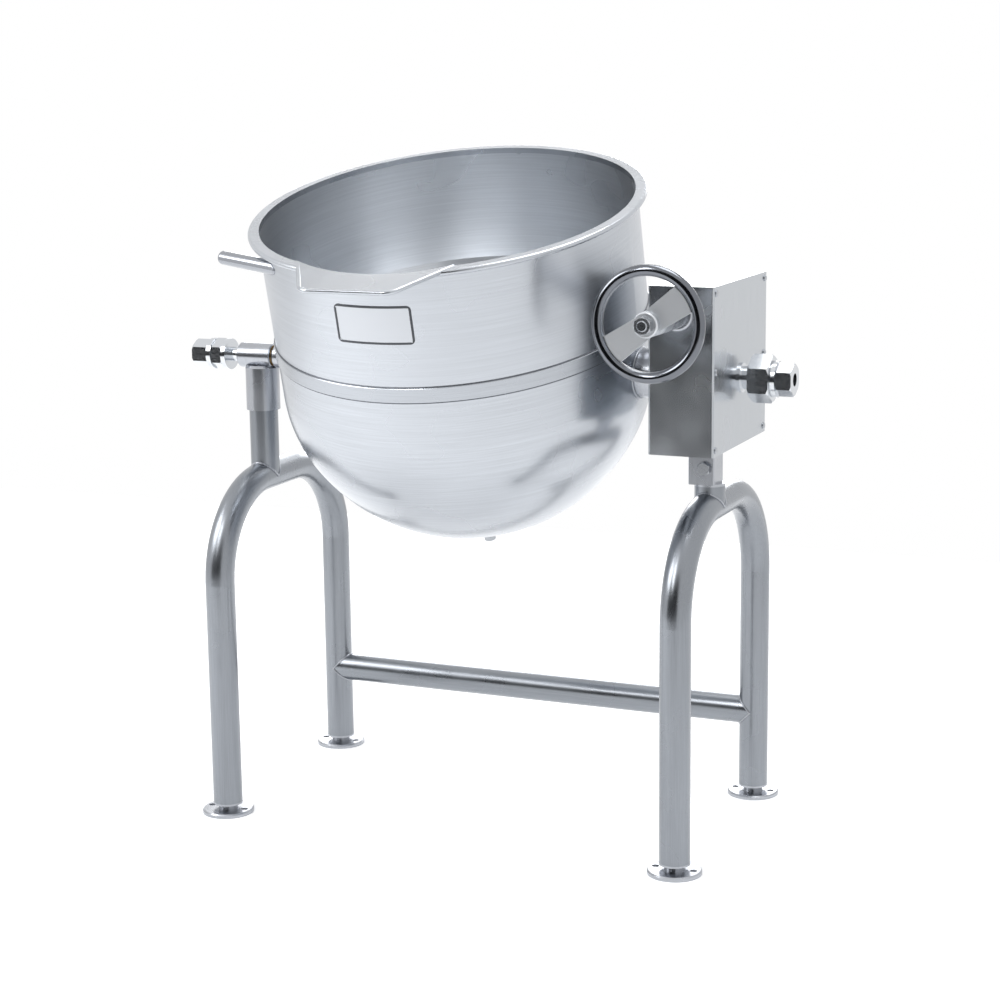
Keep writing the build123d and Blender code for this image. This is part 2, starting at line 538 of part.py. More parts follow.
def worm_shaft():
    """A plain shaft, threaded at its front end for the handwheel's nut."""
    rear_end = GEARBOX_REAR - GEARBOX_WALL - END_CLEARANCE
    journal = y_rod(HANDWHEEL_FRONT, rear_end, WORM_X, WORM_HEIGHT, WORM_SHAFT_DIAMETER)
    stud_end = HANDWHEEL_FRONT - 0.9 * HANDWHEEL_STUD_DIAMETER
    stud = y_rod(stud_end, HANDWHEEL_FRONT, WORM_X, WORM_HEIGHT, HANDWHEEL_STUD_DIAMETER)
    stud = chamfer(stud.edges().filter_by(GeomType.CIRCLE).sort_by(Axis.Y)[0], 1.5)
    return journal + stud


def shaft_collar(y_start):
    return y_rod(y_start, y_start + SHAFT_COLLAR_LENGTH, WORM_X, WORM_HEIGHT, SHAFT_COLLAR_DIAMETER,
                 WORM_SHAFT_DIAMETER)


def worm():
    """A single-start right-hand worm: its cross-section, twisted along the axis by one turn a pitch."""
    def polar(radius, turn):
        return (radius * cos(2 * pi * turn), radius * sin(2 * pi * turn))

    def half_thickness(radius):
        return (TOOTH_THICKNESS / 2 - (radius - WORM_PITCH_RADIUS) * tan(radians(PRESSURE_ANGLE))) / AXIAL_PITCH

    tip, root = half_thickness(WORM_TIP_RADIUS), half_thickness(WORM_ROOT_RADIUS)
    steps = 4
    flank = [(WORM_ROOT_RADIUS + GEAR_MODULE * 2.2 * i / steps) for i in range(steps + 1)]
    rising = Spline(*[polar(r, -half_thickness(r)) for r in flank])
    crest = ThreePointArc(polar(WORM_TIP_RADIUS, -tip), polar(WORM_TIP_RADIUS, 0), polar(WORM_TIP_RADIUS, tip))
    falling = Spline(*[polar(r, half_thickness(r)) for r in reversed(flank)])
    core = ThreePointArc(polar(WORM_ROOT_RADIUS, root), polar(WORM_ROOT_RADIUS, 0.5),
                         polar(WORM_ROOT_RADIUS, -root))
    section = make_face([rising, crest, falling, core])
    twist = 360 * WORM_LENGTH / AXIAL_PITCH
    thread = Solid.extrude_linear_with_rotation(section.face(), (0, 0, 0), (0, 0, WORM_LENGTH), twist)
    blank = Cylinder(WORM_SHAFT_DIAMETER / 2, WORM_LENGTH, align=(Align.CENTER, Align.CENTER, Align.MIN))
    return thread - blank


def placed_worm():
    """The worm on its shaft, turned so that a thread space faces the wheel's tooth at rest."""
    middle_turn = WORM_LENGTH / 2 / AXIAL_PITCH
    # Local +Z becomes world +Y and local +X becomes world +Z, so the crest faces up at turn zero.
    along_y = Plane(origin=(WORM_X, TRUNNION_Y - WORM_LENGTH / 2, WORM_HEIGHT), x_dir=(0, 0, 1), z_dir=(0, 1, 0))
    return along_y * Rot(0, 0, -360 * middle_turn) * worm()


def involute(angle):
    return tan(angle) - angle


def wheel_section(turn):
    """The wheel's toothed outline with a tooth at the top, turned by an angle in degrees."""
    base_radius = WHEEL_PITCH_RADIUS * cos(radians(PRESSURE_ANGLE))

    def half_angle(radius):
        local = acos(min(1.0, base_radius / radius))
        return TOOTH_THICKNESS / 2 / WHEEL_PITCH_RADIUS + involute(radians(PRESSURE_ANGLE)) - involute(local)

    radii = [WHEEL_ROOT_RADIUS, WHEEL_PITCH_RADIUS, WHEEL_TIP_RADIUS]
    points = []
    for tooth in range(WHEEL_TEETH):
        centre = pi / 2 + 2 * pi * tooth / WHEEL_TEETH + radians(turn)
        points += [(r, centre - half_angle(r)) for r in radii]
        points += [(r, centre + half_angle(r)) for r in reversed(radii)]
    return make_face(Polyline(*[(r * cos(a), r * sin(a)) for r, a in points], close=True))


def worm_wheel():
    """A bronze wheel with slanted teeth for the worm, a web with holes and a keyed hub, axis on +X."""
    half = WHEEL_FACE_WIDTH / 2
    slant = degrees(GEAR_MODULE / WORM_PITCH_DIAMETER * half / WHEEL_PITCH_RADIUS)
    sections = [Pos(0, 0, z) * wheel_section(turn) for z, turn in ((-half, -slant), (half, slant))]
    teeth = loft(sections, ruled=True)
    rim_inner = WHEEL_ROOT_RADIUS - WHEEL_RIM_THICKNESS
    recess_height = (WHEEL_FACE_WIDTH - WHEEL_WEB_THICKNESS) / 2
    for side in (-1, 1):
        recess_centre = side * (half - recess_height / 2)
        recess = Pos(0, 0, recess_centre) * Cylinder(rim_inner, recess_height)
        teeth = teeth - recess
    hub = Cylinder(WHEEL_HUB_DIAMETER / 2, WHEEL_HUB_LENGTH)
    wheel = teeth + chamfer(hub.edges().filter_by(GeomType.CIRCLE), 1.5)
    hole_circle = (rim_inner + WHEEL_HUB_DIAMETER / 2) / 2
    hole_radius = (rim_inner - WHEEL_HUB_DIAMETER / 2) * 0.3
    wheel = wheel - PolarLocations(hole_circle, WHEEL_WEB_HOLES) * Cylinder(hole_radius, WHEEL_WEB_THICKNESS)
    wheel = wheel - Cylinder(RIGHT_TRUNNION_DIAMETER / 2, WHEEL_HUB_LENGTH) - wheel_key()
    # Local +Z becomes world +X and local +Y becomes world +Z, so the first tooth stands at the top.
    along_x = Plane(origin=(WORM_X, TRUNNION_Y, TRUNNION_HEIGHT), x_dir=(0, 1, 0), z_dir=(1, 0, 0))
    return along_x * wheel


def wheel_key():
    """The square key between the wheel's hub and the trunnion, in the wheel's own frame."""
    width = RIGHT_TRUNNION_DIAMETER * 0.3
    height = RIGHT_TRUNNION_DIAMETER * 0.2
    return Pos(0, -RIGHT_TRUNNION_DIAMETER / 2, 0) * Box(width, height, WHEEL_HUB_LENGTH)


def placed_key():
    along_x = Plane(origin=(WORM_X, TRUNNION_Y, TRUNNION_HEIGHT), x_dir=(0, 1, 0), z_dir=(1, 0, 0))
    return along_x * wheel_key()


# ---- Handwheel ----
def handwheel():
    """A round rim, a broad two-armed spoke that widens to the rim, and a hub."""
    rim_radius = (HANDWHEEL_DIAMETER - HANDWHEEL_RIM_DIAMETER) / 2
    rim = Torus(rim_radius, HANDWHEEL_RIM_DIAMETER / 2)
    hub_radius = HANDWHEEL_HUB_DIAMETER / 2
    arm = make_face(Polyline((-rim_radius, -SPOKE_WIDTH_RIM / 2), (0, -SPOKE_WIDTH_HUB / 2),
                             (rim_radius, -SPOKE_WIDTH_RIM / 2), (rim_radius, SPOKE_WIDTH_RIM / 2),
                             (0, SPOKE_WIDTH_HUB / 2), (-rim_radius, SPOKE_WIDTH_RIM / 2), close=True))
    arm = arm & Circle(rim_radius)
    spoke = Pos(0, 0, -SPOKE_THICKNESS / 2) * Rot(0, 0, SPOKE_ANGLE) * extrude(arm, amount=SPOKE_THICKNESS)
    front = HANDWHEEL_HUB_LENGTH - HANDWHEEL_SETBACK
    hub = z_rod(-HANDWHEEL_SETBACK, front, 0, 0, 2 * hub_radius)
    hub = chamfer(hub.edges().filter_by(GeomType.CIRCLE), 2)
    wheel = rim + spoke + hub - z_rod(-HANDWHEEL_SETBACK, front, 0, 0, WORM_SHAFT_DIAMETER)
    # Local +Z faces the front (world -Y), local +X stays world +X.
    facing_front = Plane(origin=(WORM_X, HANDWHEEL_PLANE, WORM_HEIGHT), x_dir=(1, 0, 0), z_dir=(0, -1, 0))
    return facing_front * wheel


def handwheel_nut():
    length = 0.8 * HANDWHEEL_STUD_DIAMETER
    return hexagon_bar((WORM_X, HANDWHEEL_FRONT, WORM_HEIGHT), (WORM_X, HANDWHEEL_FRONT - length, WORM_HEIGHT),
                       HANDWHEEL_NUT_ACROSS_FLATS, HANDWHEEL_STUD_DIAMETER)


# ---- Kettle shells, in the kettle's own frame ----
def head_arcs(wall, top, bottom, inset):
    """A pressed head's line: a turned edge below the wall, then a round crown down to the axis."""
    depth = top - bottom
    knuckle = HEAD_KNUCKLE_SHARE * depth
    crown = (wall**2 + depth**2 - 2 * wall * knuckle) / (2 * (depth - knuckle))
    turn = degrees(atan2(crown - depth, wall - knuckle))
    edge = CenterArc((wall - knuckle, top), knuckle - inset, -turn, turn)
    return edge, CenterArc((0, bottom + crown), crown - inset, -90, 90 - turn)


def bowl_profile(inset):
    """The bowl's line from the rim to the bottom; inset zero is its outside."""
    wall, skirt = KETTLE_RADIUS - inset, BOWL_SKIRT_RADIUS - inset
    sides = Polyline((wall, RIM_BOTTOM), (wall, JOGGLE_TOP), (skirt, JOGGLE_TOP - JOGGLE_DROP),
                     (skirt, JOGGLE_TOP - 2 * JOGGLE_DROP), (BOWL_HEAD_RADIUS - inset, BOWL_HEAD_TOP))
    return [sides, *head_arcs(BOWL_HEAD_RADIUS, BOWL_HEAD_TOP, -BOWL_DEPTH, inset)]


def shell_between(outer, inner, bottom, depth):
    """Revolves the band between an outer and an inner profile line."""
    closing = [Line(outer[0] @ 0, inner[0] @ 0), Line((0, bottom), (0, bottom + depth))]
    return revolve(Plane.XZ * make_face([*outer, *inner, *closing]), axis=Axis.Z)


def inner_bowl():
    """The food bowl: a straight wall, stepped in behind the jacket's edge, and a rounded bottom."""
    bowl = shell_between(bowl_profile(0), bowl_profile(SHELL_WALL), -BOWL_DEPTH, SHELL_WALL)
    return bowl - lip_clearance()


def jacket_profile(inset):
    wall = KETTLE_RADIUS - inset
    side = Line((wall, JACKET_TOP), (wall, JACKET_HEAD_TOP))
    return [side, *head_arcs(KETTLE_RADIUS, JACKET_HEAD_TOP, -JACKET_DEPTH, inset)]


def jacket_solid(inset):
    """Everything inside the jacket's outer or inner face, up to its top edge."""
    lines = jacket_profile(inset)
    closing = Polyline(lines[0] @ 0, (0, JACKET_TOP), (0, -JACKET_DEPTH + inset))
    return revolve(Plane.XZ * make_face([*lines, closing]), axis=Axis.Z)


def outer_jacket():
    """The steam jacket, with holes for the trunnions and the drain."""
    jacket = shell_between(jacket_profile(0), jacket_profile(SHELL_WALL), -JACKET_DEPTH, SHELL_WALL)
    jacket = jacket - x_rod(0, KETTLE_DIAMETER, 0, 0, RIGHT_TRUNNION_DIAMETER)
    jacket = jacket - x_rod(-KETTLE_DIAMETER, 0, 0, 0, LEFT_TRUNNION_DIAMETER)
    return jacket - z_rod(-2 * JACKET_DEPTH, 0, 0, 0, DRAIN_NIPPLE_DIAMETER)


def seam_band():
    """The welded band over the joint of bowl and jacket."""
    outside = Cylinder(KETTLE_RADIUS + SEAM_BAND_THICKNESS, SEAM_BAND_HEIGHT)
    band = Pos(0, 0, SEAM_BOTTOM + SEAM_BAND_HEIGHT / 2) * outside
    band = chamfer(band.edges().filter_by(GeomType.CIRCLE), 1.2)
    return band - z_rod(SEAM_BOTTOM, SEAM_BOTTOM + SEAM_BAND_HEIGHT, 0, 0, KETTLE_DIAMETER)


def lip_plane():
    """The lip's own plane: its origin on the wall at the rim's height, its -Y out and slightly down."""
    slope = radians(LIP_SLOPE)
    return Plane(origin=(0, -KETTLE_RADIUS, RIM_HEIGHT), x_dir=(1, 0, 0), z_dir=(0, -sin(slope), cos(slope)))


def lip_edge(margin=0.0):
    """The lip's outline seen from above, from the inside of the bowl out round the pouring edge."""
    inside = 2 * RIM_WIDTH
    flare = (LIP_ROOT_WIDTH - LIP_TIP_WIDTH) / 2 / LIP_REACH
    root, tip = LIP_ROOT_WIDTH / 2 + flare * inside + margin, LIP_TIP_WIDTH / 2 + margin
    corners = [(-root, inside), (-tip, -LIP_REACH - margin), (tip, -LIP_REACH - margin), (root, inside)]
    return FilletPolyline(*corners, radius=LIP_CORNER_RADIUS + margin)


def trough_section(y, sag, raised):
    """A shallow trough's cross-section, its lower face always in the same place."""
    half = LIP_ROOT_WIDTH / 2 + RIM_WIDTH
    top, bottom = raised, -SHELL_WALL
    upper = ThreePointArc((-half, top), (0, top - sag), (half, top))
    lower = ThreePointArc((-half, bottom), (0, bottom - sag), (half, bottom))
    ends = [Line((side, top), (side, bottom)) for side in (-half, half)]
    return Plane(origin=(0, y, 0), x_dir=(1, 0, 0), z_dir=(0, -1, 0)) * make_face([upper, lower, *ends])


def trough(raised=0.0):
    """The lip's sheet, or with its upper face raised the space over it, in the lip's plane."""
    sheet = loft([trough_section(2 * RIM_WIDTH, LIP_SAG, raised),
                  trough_section(-LIP_REACH, LIP_EDGE_SAG, raised)])
    edge = lip_edge()
    outline = make_face([edge, Line(edge @ 1, edge @ 0)])
    return sheet & extrude(outline, amount=LIP_REACH, both=True)


def lip_bead():
    """The rolled edge round the lip, flush with the top of the rim."""
    edge = lip_edge()
    section = Plane(origin=edge @ 0, z_dir=edge % 0)
    return Pos(0, 0, -LIP_BEAD_DIAMETER / 2) * sweep(section * Circle(LIP_BEAD_DIAMETER / 2), path=edge)


def lip_clearance():
    """The space of the lip and all above it, taken from the rim and the bowl's wall."""
    return lip_plane() * (trough(raised=RIM_THICKNESS) + lip_bead())


def pour_lip():
    """The pressed pouring lip with its rolled edge, trimmed to the inside of the bowl's wall."""
    lip = lip_plane() * (trough() + lip_bead())
    return lip - z_rod(0, 2 * RIM_HEIGHT, 0, 0, 2 * BOWL_INNER_RADIUS)


def rim_ring():
    """The rolled rim, cut away where the lip's trough crosses it."""
    bead = RIM_THICKNESS / 2
    profile = Polyline((RIM_RADIUS - bead, RIM_BOTTOM), (BOWL_INNER_RADIUS, RIM_BOTTOM),
                       (BOWL_INNER_RADIUS, RIM_HEIGHT), (RIM_RADIUS - bead, RIM_HEIGHT))
    roll = ThreePointArc((RIM_RADIUS - bead, RIM_HEIGHT), (RIM_RADIUS, RIM_HEIGHT - bead),
                         (RIM_RADIUS - bead, RIM_BOTTOM))
    ring = revolve(Plane.XZ * make_face([profile, roll]), axis=Axis.Z)
    return ring - lip_clearance()


def side_handle():
    """A straight round bar under the rim, coped to the wall, with a rounded tip."""
    root_angle, yaw = radians(HANDLE_ROOT_ANGLE), radians(HANDLE_YAW)
    root = Vector(-KETTLE_RADIUS * sin(root_angle), -KETTLE_RADIUS * cos(root_angle), HANDLE_HEIGHT)
    along = Vector(-cos(yaw), sin(yaw), 0)
    bar = rod(root - along * HANDLE_DIAMETER, root + along * HANDLE_REACH, HANDLE_DIAMETER)
    tip_edge = bar.edges().filter_by(GeomType.CIRCLE).sort_by_distance(root + along * 2 * HANDLE_REACH)[0]
    bar = fillet(tip_edge, HANDLE_DIAMETER * 0.3)
    return bar - z_rod(SEAM_BOTTOM, RIM_HEIGHT, 0, 0, KETTLE_DIAMETER)


def name_plate():
    """A bare curved plate with a raised border, on the front of the upper wall."""
    def patch(width, height, corner_radius, inner_radius, outer_radius):
        front = Plane(origin=(0, 0, PLATE_CENTRE_HEIGHT), x_dir=(1, 0, 0), z_dir=(0, -1, 0))
        outline = extrude(front * RectangleRounded(width, height, corner_radius), amount=2 * outer_radius)
        ring = z_rod(0, RIM_HEIGHT, 0, 0, 2 * outer_radius, 2 * inner_radius)
        return outline & ring

    outer = KETTLE_RADIUS + PLATE_THICKNESS
    plate = patch(PLATE_WIDTH, PLATE_HEIGHT, PLATE_CORNER_RADIUS, KETTLE_RADIUS + SEAT_CLEARANCE, outer)
    recess = patch(PLATE_WIDTH - 2 * PLATE_BORDER, PLATE_HEIGHT - 2 * PLATE_BORDER,
                   PLATE_CORNER_RADIUS - PLATE_BORDER,
                   KETTLE_RADIUS + PLATE_THICKNESS / 2, outer)
    return plate - recess


# ---- Trunnions and the pieces in and under the jacket, in the kettle's own frame ----
def trunnion_hub(x_end, hub_diameter, shaft_diameter):
    """A round reinforcing hub between the jacket and the bearing, coped to the jacket."""
    hub = x_rod(0, x_end, 0, 0, hub_diameter)
    outer_edge = hub.edges().filter_by(GeomType.CIRCLE).sort_by(Axis.X)[-1 if x_end > 0 else 0]
    hub = chamfer(outer_edge, 3)
    return hub - jacket_solid(0) - x_rod(0, x_end, 0, 0, shaft_diameter)


def trunnion_shaft(journal_end, diameter, spigot_end, spigot_diameter, bore):
    """A hollow trunnion welded through the jacket, with a thinner spigot for its rotary union."""
    shaft = x_rod(0, journal_end, 0, 0, diameter) + x_rod(journal_end, spigot_end, 0, 0, spigot_diameter)
    return shaft - jacket_solid(SHELL_WALL) - x_rod(0, spigot_end, 0, 0, bore)


RIGHT_JOURNAL_END = GEARBOX_RIGHT - END_CLEARANCE - KETTLE_X
RIGHT_SPIGOT_END = GEARBOX_RIGHT + INLET_NECK_LENGTH + INLET_HEAD_LENGTH - END_CLEARANCE - KETTLE_X
LEFT_JOURNAL_END = LEFT_BARREL_OUTER + END_CLEARANCE - KETTLE_X
LEFT_SPIGOT_END = LEFT_BARREL_OUTER - OUTLET_NECK_LENGTH - OUTLET_HEAD_LENGTH + END_CLEARANCE - KETTLE_X
RIGHT_HUB_END = GEARBOX_LEFT - HUB_RUNNING_GAP - KETTLE_X
LEFT_HUB_END = LEFT_BARREL_INNER + HUB_RUNNING_GAP - KETTLE_X


def right_trunnion():
    shaft = trunnion_shaft(RIGHT_JOURNAL_END, RIGHT_TRUNNION_DIAMETER, RIGHT_SPIGOT_END, INLET_SPIGOT_DIAMETER,
                           INLET_BORE)
    return place(shaft) - placed_key()


def left_trunnion():
    return place(trunnion_shaft(LEFT_JOURNAL_END, LEFT_TRUNNION_DIAMETER, LEFT_SPIGOT_END, OUTLET_SPIGOT_DIAMETER,
                                OUTLET_BORE))


def siphon_tube():
    """The thin tube that lifts condensate from the jacket's bottom into the left trunnion."""
    in_bore = -(OUTLET_BORE - SIPHON_DIAMETER) / 2 + SEAT_CLEARANCE
    beside_bowl = KETTLE_RADIUS - SHELL_WALL - STEAM_SPACE / 2
    half_depth = (BOWL_DEPTH + JACKET_DEPTH) / 2
    tip_depth = (BOWL_DEPTH + 3 * JACKET_DEPTH) / 4 - SIPHON_TIP_RISE
    spread = KETTLE_RADIUS / SIPHON_LAYOUT_RADIUS
    turns = [(-out * spread, 0, up * spread - half_depth) for out, up in SIPHON_TURNS]
    route = [(-KETTLE_RADIUS - SIPHON_INSERT, 0, in_bore), (-beside_bowl, 0, in_bore), *turns,
             (-SIPHON_TIP_REACH * spread, 0, -tip_depth)]
    radii = [SIPHON_BEND_RADIUS] + [radius * spread for radius in SIPHON_TURN_RADII]
    return swept_tube(FilletPolyline(*route, radius=radii), SIPHON_DIAMETER / 2, SIPHON_BORE / 2)


def drain_boss():
    """A welded boss and nipple at the lowest point of the jacket."""
    boss_bottom = -JACKET_DEPTH - DRAIN_BOSS_HEIGHT
    boss = z_rod(boss_bottom, -JACKET_DEPTH / 2, 0, 0, DRAIN_BOSS_DIAMETER) - jacket_solid(0)
    boss = chamfer(boss.edges().group_by(Axis.Z)[0], 2)
    nipple = z_rod(-JACKET_DEPTH - DRAIN_NIPPLE_LENGTH, -JACKET_DEPTH + SHELL_WALL, 0, 0, DRAIN_NIPPLE_DIAMETER)
    bore = z_rod(-JACKET_DEPTH - DRAIN_NIPPLE_LENGTH, -JACKET_DEPTH + 2 * SHELL_WALL, 0, 0,
                 DRAIN_NIPPLE_DIAMETER - 8)
    return boss + nipple - bore


def drain_plug():
    """A hexagonal plug screwed into the drain nipple."""
    nipple_end = -JACKET_DEPTH - DRAIN_NIPPLE_LENGTH
    plug = z_rod(nipple_end, nipple_end + 14, 0, 0, DRAIN_NIPPLE_DIAMETER - 8)
    head = hexagon_bar((0, 0, nipple_end), (0, 0, nipple_end - DRAIN_PLUG_HEAD), DRAIN_PLUG_ACROSS_FLATS)
    return plug + head


# ---- Rotary unions: a gland on the bearing, a seal ring, a union nut and a tailpiece ----
def turned(face, direction, steps, bore):
    """A turned piece along the trunnion axis, from its start, end and diameter at each step."""
    solid = None
    for start, end, diameter in steps:
        step = x_rod(face + direction * start, face + direction * end, TRUNNION_Y, TRUNNION_HEIGHT, diameter)
        solid = step if solid is None else solid + step
    start, end = steps[0][0], steps[-1][1]
    return solid - x_rod(face + direction * start, face + direction * end, TRUNNION_Y, TRUNNION_HEIGHT, bore)


def axis_hexagon(face, direction, start, end, across_flats, bore):
    return hexagon_bar((face + direction * start, TRUNNION_Y, TRUNNION_HEIGHT),
                       (face + direction * end, TRUNNION_Y, TRUNNION_HEIGHT), across_flats, bore,
                       chamfer_depth=0.05 * across_flats)


def steam_inlet():
    """Gland, seal ring, union nut and tailpiece outside the gearbox cover."""
    face, direction = GEARBOX_RIGHT, 1
    head_end = INLET_NECK_LENGTH + INLET_HEAD_LENGTH
    seal_end = head_end + SEAL_RING_THICKNESS
    collar_end = seal_end + UNION_COLLAR_THICKNESS
    nut_end = INLET_NECK_LENGTH + INLET_NUT_LENGTH
    tail_start = nut_end + THREAD_CLEARANCE
    tail_flange_end = tail_start + INLET_TAIL_FLANGE_THICKNESS
    tail_end = tail_flange_end + INLET_TAIL_HEX_LENGTH
    gland = turned(face, direction, [(0, INLET_BASE_THICKNESS, INLET_BASE_DIAMETER),
                                     (INLET_BASE_THICKNESS, INLET_NECK_LENGTH, INLET_NECK_DIAMETER),
                                     (INLET_NECK_LENGTH, head_end, INLET_HEAD_DIAMETER)],
                   INLET_SPIGOT_DIAMETER + 2 * GLAND_CLEARANCE)
    seal = turned(face, direction, [(head_end, seal_end, INLET_HEAD_DIAMETER)], INLET_BORE + 2 * GLAND_CLEARANCE)
    nut = axis_hexagon(face, direction, INLET_NECK_LENGTH, nut_end, INLET_NUT_ACROSS_FLATS,
                       INLET_TAIL_DIAMETER + 2 * THREAD_CLEARANCE)
    nut = nut - turned(face, direction, [(INLET_NECK_LENGTH, collar_end, INLET_HEAD_DIAMETER)], INLET_BORE)
    tail = turned(face, direction, [(seal_end, collar_end, INLET_HEAD_DIAMETER - 2 * THREAD_CLEARANCE),
                                    (collar_end, tail_start, INLET_TAIL_DIAMETER),
                                    (tail_start, tail_flange_end, INLET_TAIL_FLANGE_DIAMETER)], INLET_BORE)
    tail = tail + axis_hexagon(face, direction, tail_flange_end, tail_end, INLET_TAIL_ACROSS_FLATS, INLET_BORE)
    return gland, seal, nut, tail


def condensate_outlet():
    """The smaller rotary union outside the left bearing; its gland's head shows as a flange."""
    face, direction = LEFT_BARREL_OUTER, -1
    head_end = OUTLET_NECK_LENGTH + OUTLET_HEAD_LENGTH
    seal_end = head_end + SEAL_RING_THICKNESS
    collar_end = seal_end + UNION_COLLAR_THICKNESS
    nut_end = head_end + OUTLET_NUT_LENGTH
    tail_start = nut_end + THREAD_CLEARANCE
    tail_flange_end = tail_start + OUTLET_TAIL_FLANGE_THICKNESS
    tail_end = tail_flange_end + OUTLET_TAIL_HEX_LENGTH
    seal_diameter = OUTLET_NUT_ACROSS_FLATS - 4 * SHELL_WALL
    gland = turned(face, direction, [(0, OUTLET_BASE_THICKNESS, OUTLET_BASE_DIAMETER),
                                     (OUTLET_BASE_THICKNESS, OUTLET_NECK_LENGTH, OUTLET_NECK_DIAMETER),
                                     (OUTLET_NECK_LENGTH, head_end, OUTLET_HEAD_DIAMETER)],
                   OUTLET_SPIGOT_DIAMETER + 2 * GLAND_CLEARANCE)
    seal = turned(face, direction, [(head_end, seal_end, seal_diameter)], OUTLET_BORE + 2 * GLAND_CLEARANCE)
    nut = axis_hexagon(face, direction, head_end, nut_end, OUTLET_NUT_ACROSS_FLATS,
                       OUTLET_TAIL_DIAMETER + 2 * THREAD_CLEARANCE)
    nut = nut - turned(face, direction, [(head_end, collar_end, seal_diameter)], OUTLET_BORE)
    tail = turned(face, direction, [(seal_end, collar_end, seal_diameter - 2 * THREAD_CLEARANCE),
                                    (collar_end, tail_start, OUTLET_TAIL_DIAMETER),
                                    (tail_start, tail_flange_end, OUTLET_TAIL_FLANGE_DIAMETER)], OUTLET_BORE)
    tail = tail + axis_hexagon(face, direction, tail_flange_end, tail_end, OUTLET_TAIL_ACROSS_FLATS, OUTLET_BORE)
    return gland, seal, nut, tail


# ---- All pieces by name ----
inlet_gland, inlet_seal, inlet_nut, inlet_tailpiece = steam_inlet()
outlet_gland, outlet_seal, outlet_nut, outlet_tailpiece = condensate_outlet()

nodes = {
    "left_leg_arch": leg_arch(-LEG_X),
    "right_leg_arch": leg_arch(LEG_X),
    "rear_cross_tube": cross_tube(),
    "left_post": post(-LEG_X, LEFT_POST_TOP),
    "right_post": post(LEG_X, RIGHT_POST_TOP),
    "front_left_foot": foot(-LEG_X, -LEG_Y),
    "rear_left_foot": foot(-LEG_X, LEG_Y),
    "front_right_foot": foot(LEG_X, -LEG_Y),
    "rear_right_foot": foot(LEG_X, LEG_Y),
    "foot_pins": foot_pins(),
    "left_bearing_support": left_support(),
    "left_trunnion_bush": trunnion_bush(LEFT_BARREL_OUTER, LEFT_BARREL_INNER, LEFT_TRUNNION_DIAMETER),
    "right_post_plug": right_post_plug(),
    "gearbox_pedestal": gearbox_pedestal(),
    "pedestal_bolt": pedestal_bolt(),
    "gearbox_housing": gearbox_housing(),
    "gearbox_cover": gearbox_cover(),
    "cover_screws": cover_screws(),
    "inner_trunnion_bearing": inner_trunnion_bearing(),
    "inner_trunnion_bush": trunnion_bush(GEARBOX_LEFT, INNER_BEARING_END, RIGHT_TRUNNION_DIAMETER),
    "outer_trunnion_bearing": outer_trunnion_bearing(),
    "outer_trunnion_bush": trunnion_bush(OUTER_BEARING_START, COVER_INNER, RIGHT_TRUNNION_DIAMETER),
    "worm_shaft_sleeve": worm_sleeve(),
    "front_worm_bush": worm_bush(SLEEVE_FRONT),
    "middle_worm_bush": worm_bush(SLEEVE_REAR - WORM_BUSH_LENGTH),
    "rear_worm_boss": rear_boss(),
    "rear_worm_bush": worm_bush(REAR_BUSH_FRONT),
    "worm_shaft": worm_shaft(),
    "front_shaft_collar": shaft_collar(SLEEVE_REAR + END_CLEARANCE),
    "rear_shaft_collar": shaft_collar(REAR_BUSH_FRONT - END_CLEARANCE - SHAFT_COLLAR_LENGTH),
    "worm": placed_worm(),
    "worm_wheel": worm_wheel(),
    "wheel_key": placed_key(),
    "handwheel": handwheel(),
    "handwheel_nut": handwheel_nut(),
    "steam_gland": inlet_gland,
    "steam_seal_ring": inlet_seal,
    "steam_union_nut": inlet_nut,
    "steam_inlet_tailpiece": inlet_tailpiece,
    "condensate_gland": outlet_gland,
    "condensate_seal_ring": outlet_seal,
    "condensate_union_nut": outlet_nut,
    "condensate_tailpiece": outlet_tailpiece,
    "inner_bowl": place(inner_bowl()),
    "outer_jacket": place(outer_jacket()),
    "seam_band": place(seam_band()),
    "rim_ring": place(rim_ring()),
    "pour_lip": place(pour_lip()),
    "side_handle": place(side_handle()),
    "name_plate": place(name_plate()),
    "right_trunnion_hub": place(trunnion_hub(RIGHT_HUB_END, RIGHT_HUB_DIAMETER, RIGHT_TRUNNION_DIAMETER)),
    "right_trunnion": right_trunnion(),
    "left_trunnion_hub": place(trunnion_hub(LEFT_HUB_END, LEFT_HUB_DIAMETER, LEFT_TRUNNION_DIAMETER)),
    "left_trunnion": left_trunnion(),
    "siphon_tube": place(siphon_tube()),
    "drain_boss": place(drain_boss()),
    "drain_plug": place(drain_plug()),
}

os.makedirs("parts", exist_ok=True)
for name, shape in nodes.items():
    solids = [solid for piece in (shape if isinstance(shape, list) else [shape]) for solid in piece.solids()]
    export_step(Compound(children=solids) if len(solids) > 1 else solids[0], f"parts/{name}.step")
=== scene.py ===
# %% [markdown]
# # A tilting steam jacketed kettle
# A food kettle with a double wall hangs on two hollow trunnions in a stand of bent stainless
# tube. Steam goes in through the right trunnion, and a handwheel turns a worm gearbox that tips
# the kettle. The solids come from the CAD model. Most places here are read from them, and a few
# named sizes repeat the model's own. This lesson dresses the solids with finishes for brushed,
# turned and polished stainless steel, and adds the weld beads that the welder leaves behind.

# %% Load the frame
import json
import math

import bpy
from mathutils import Matrix, Vector


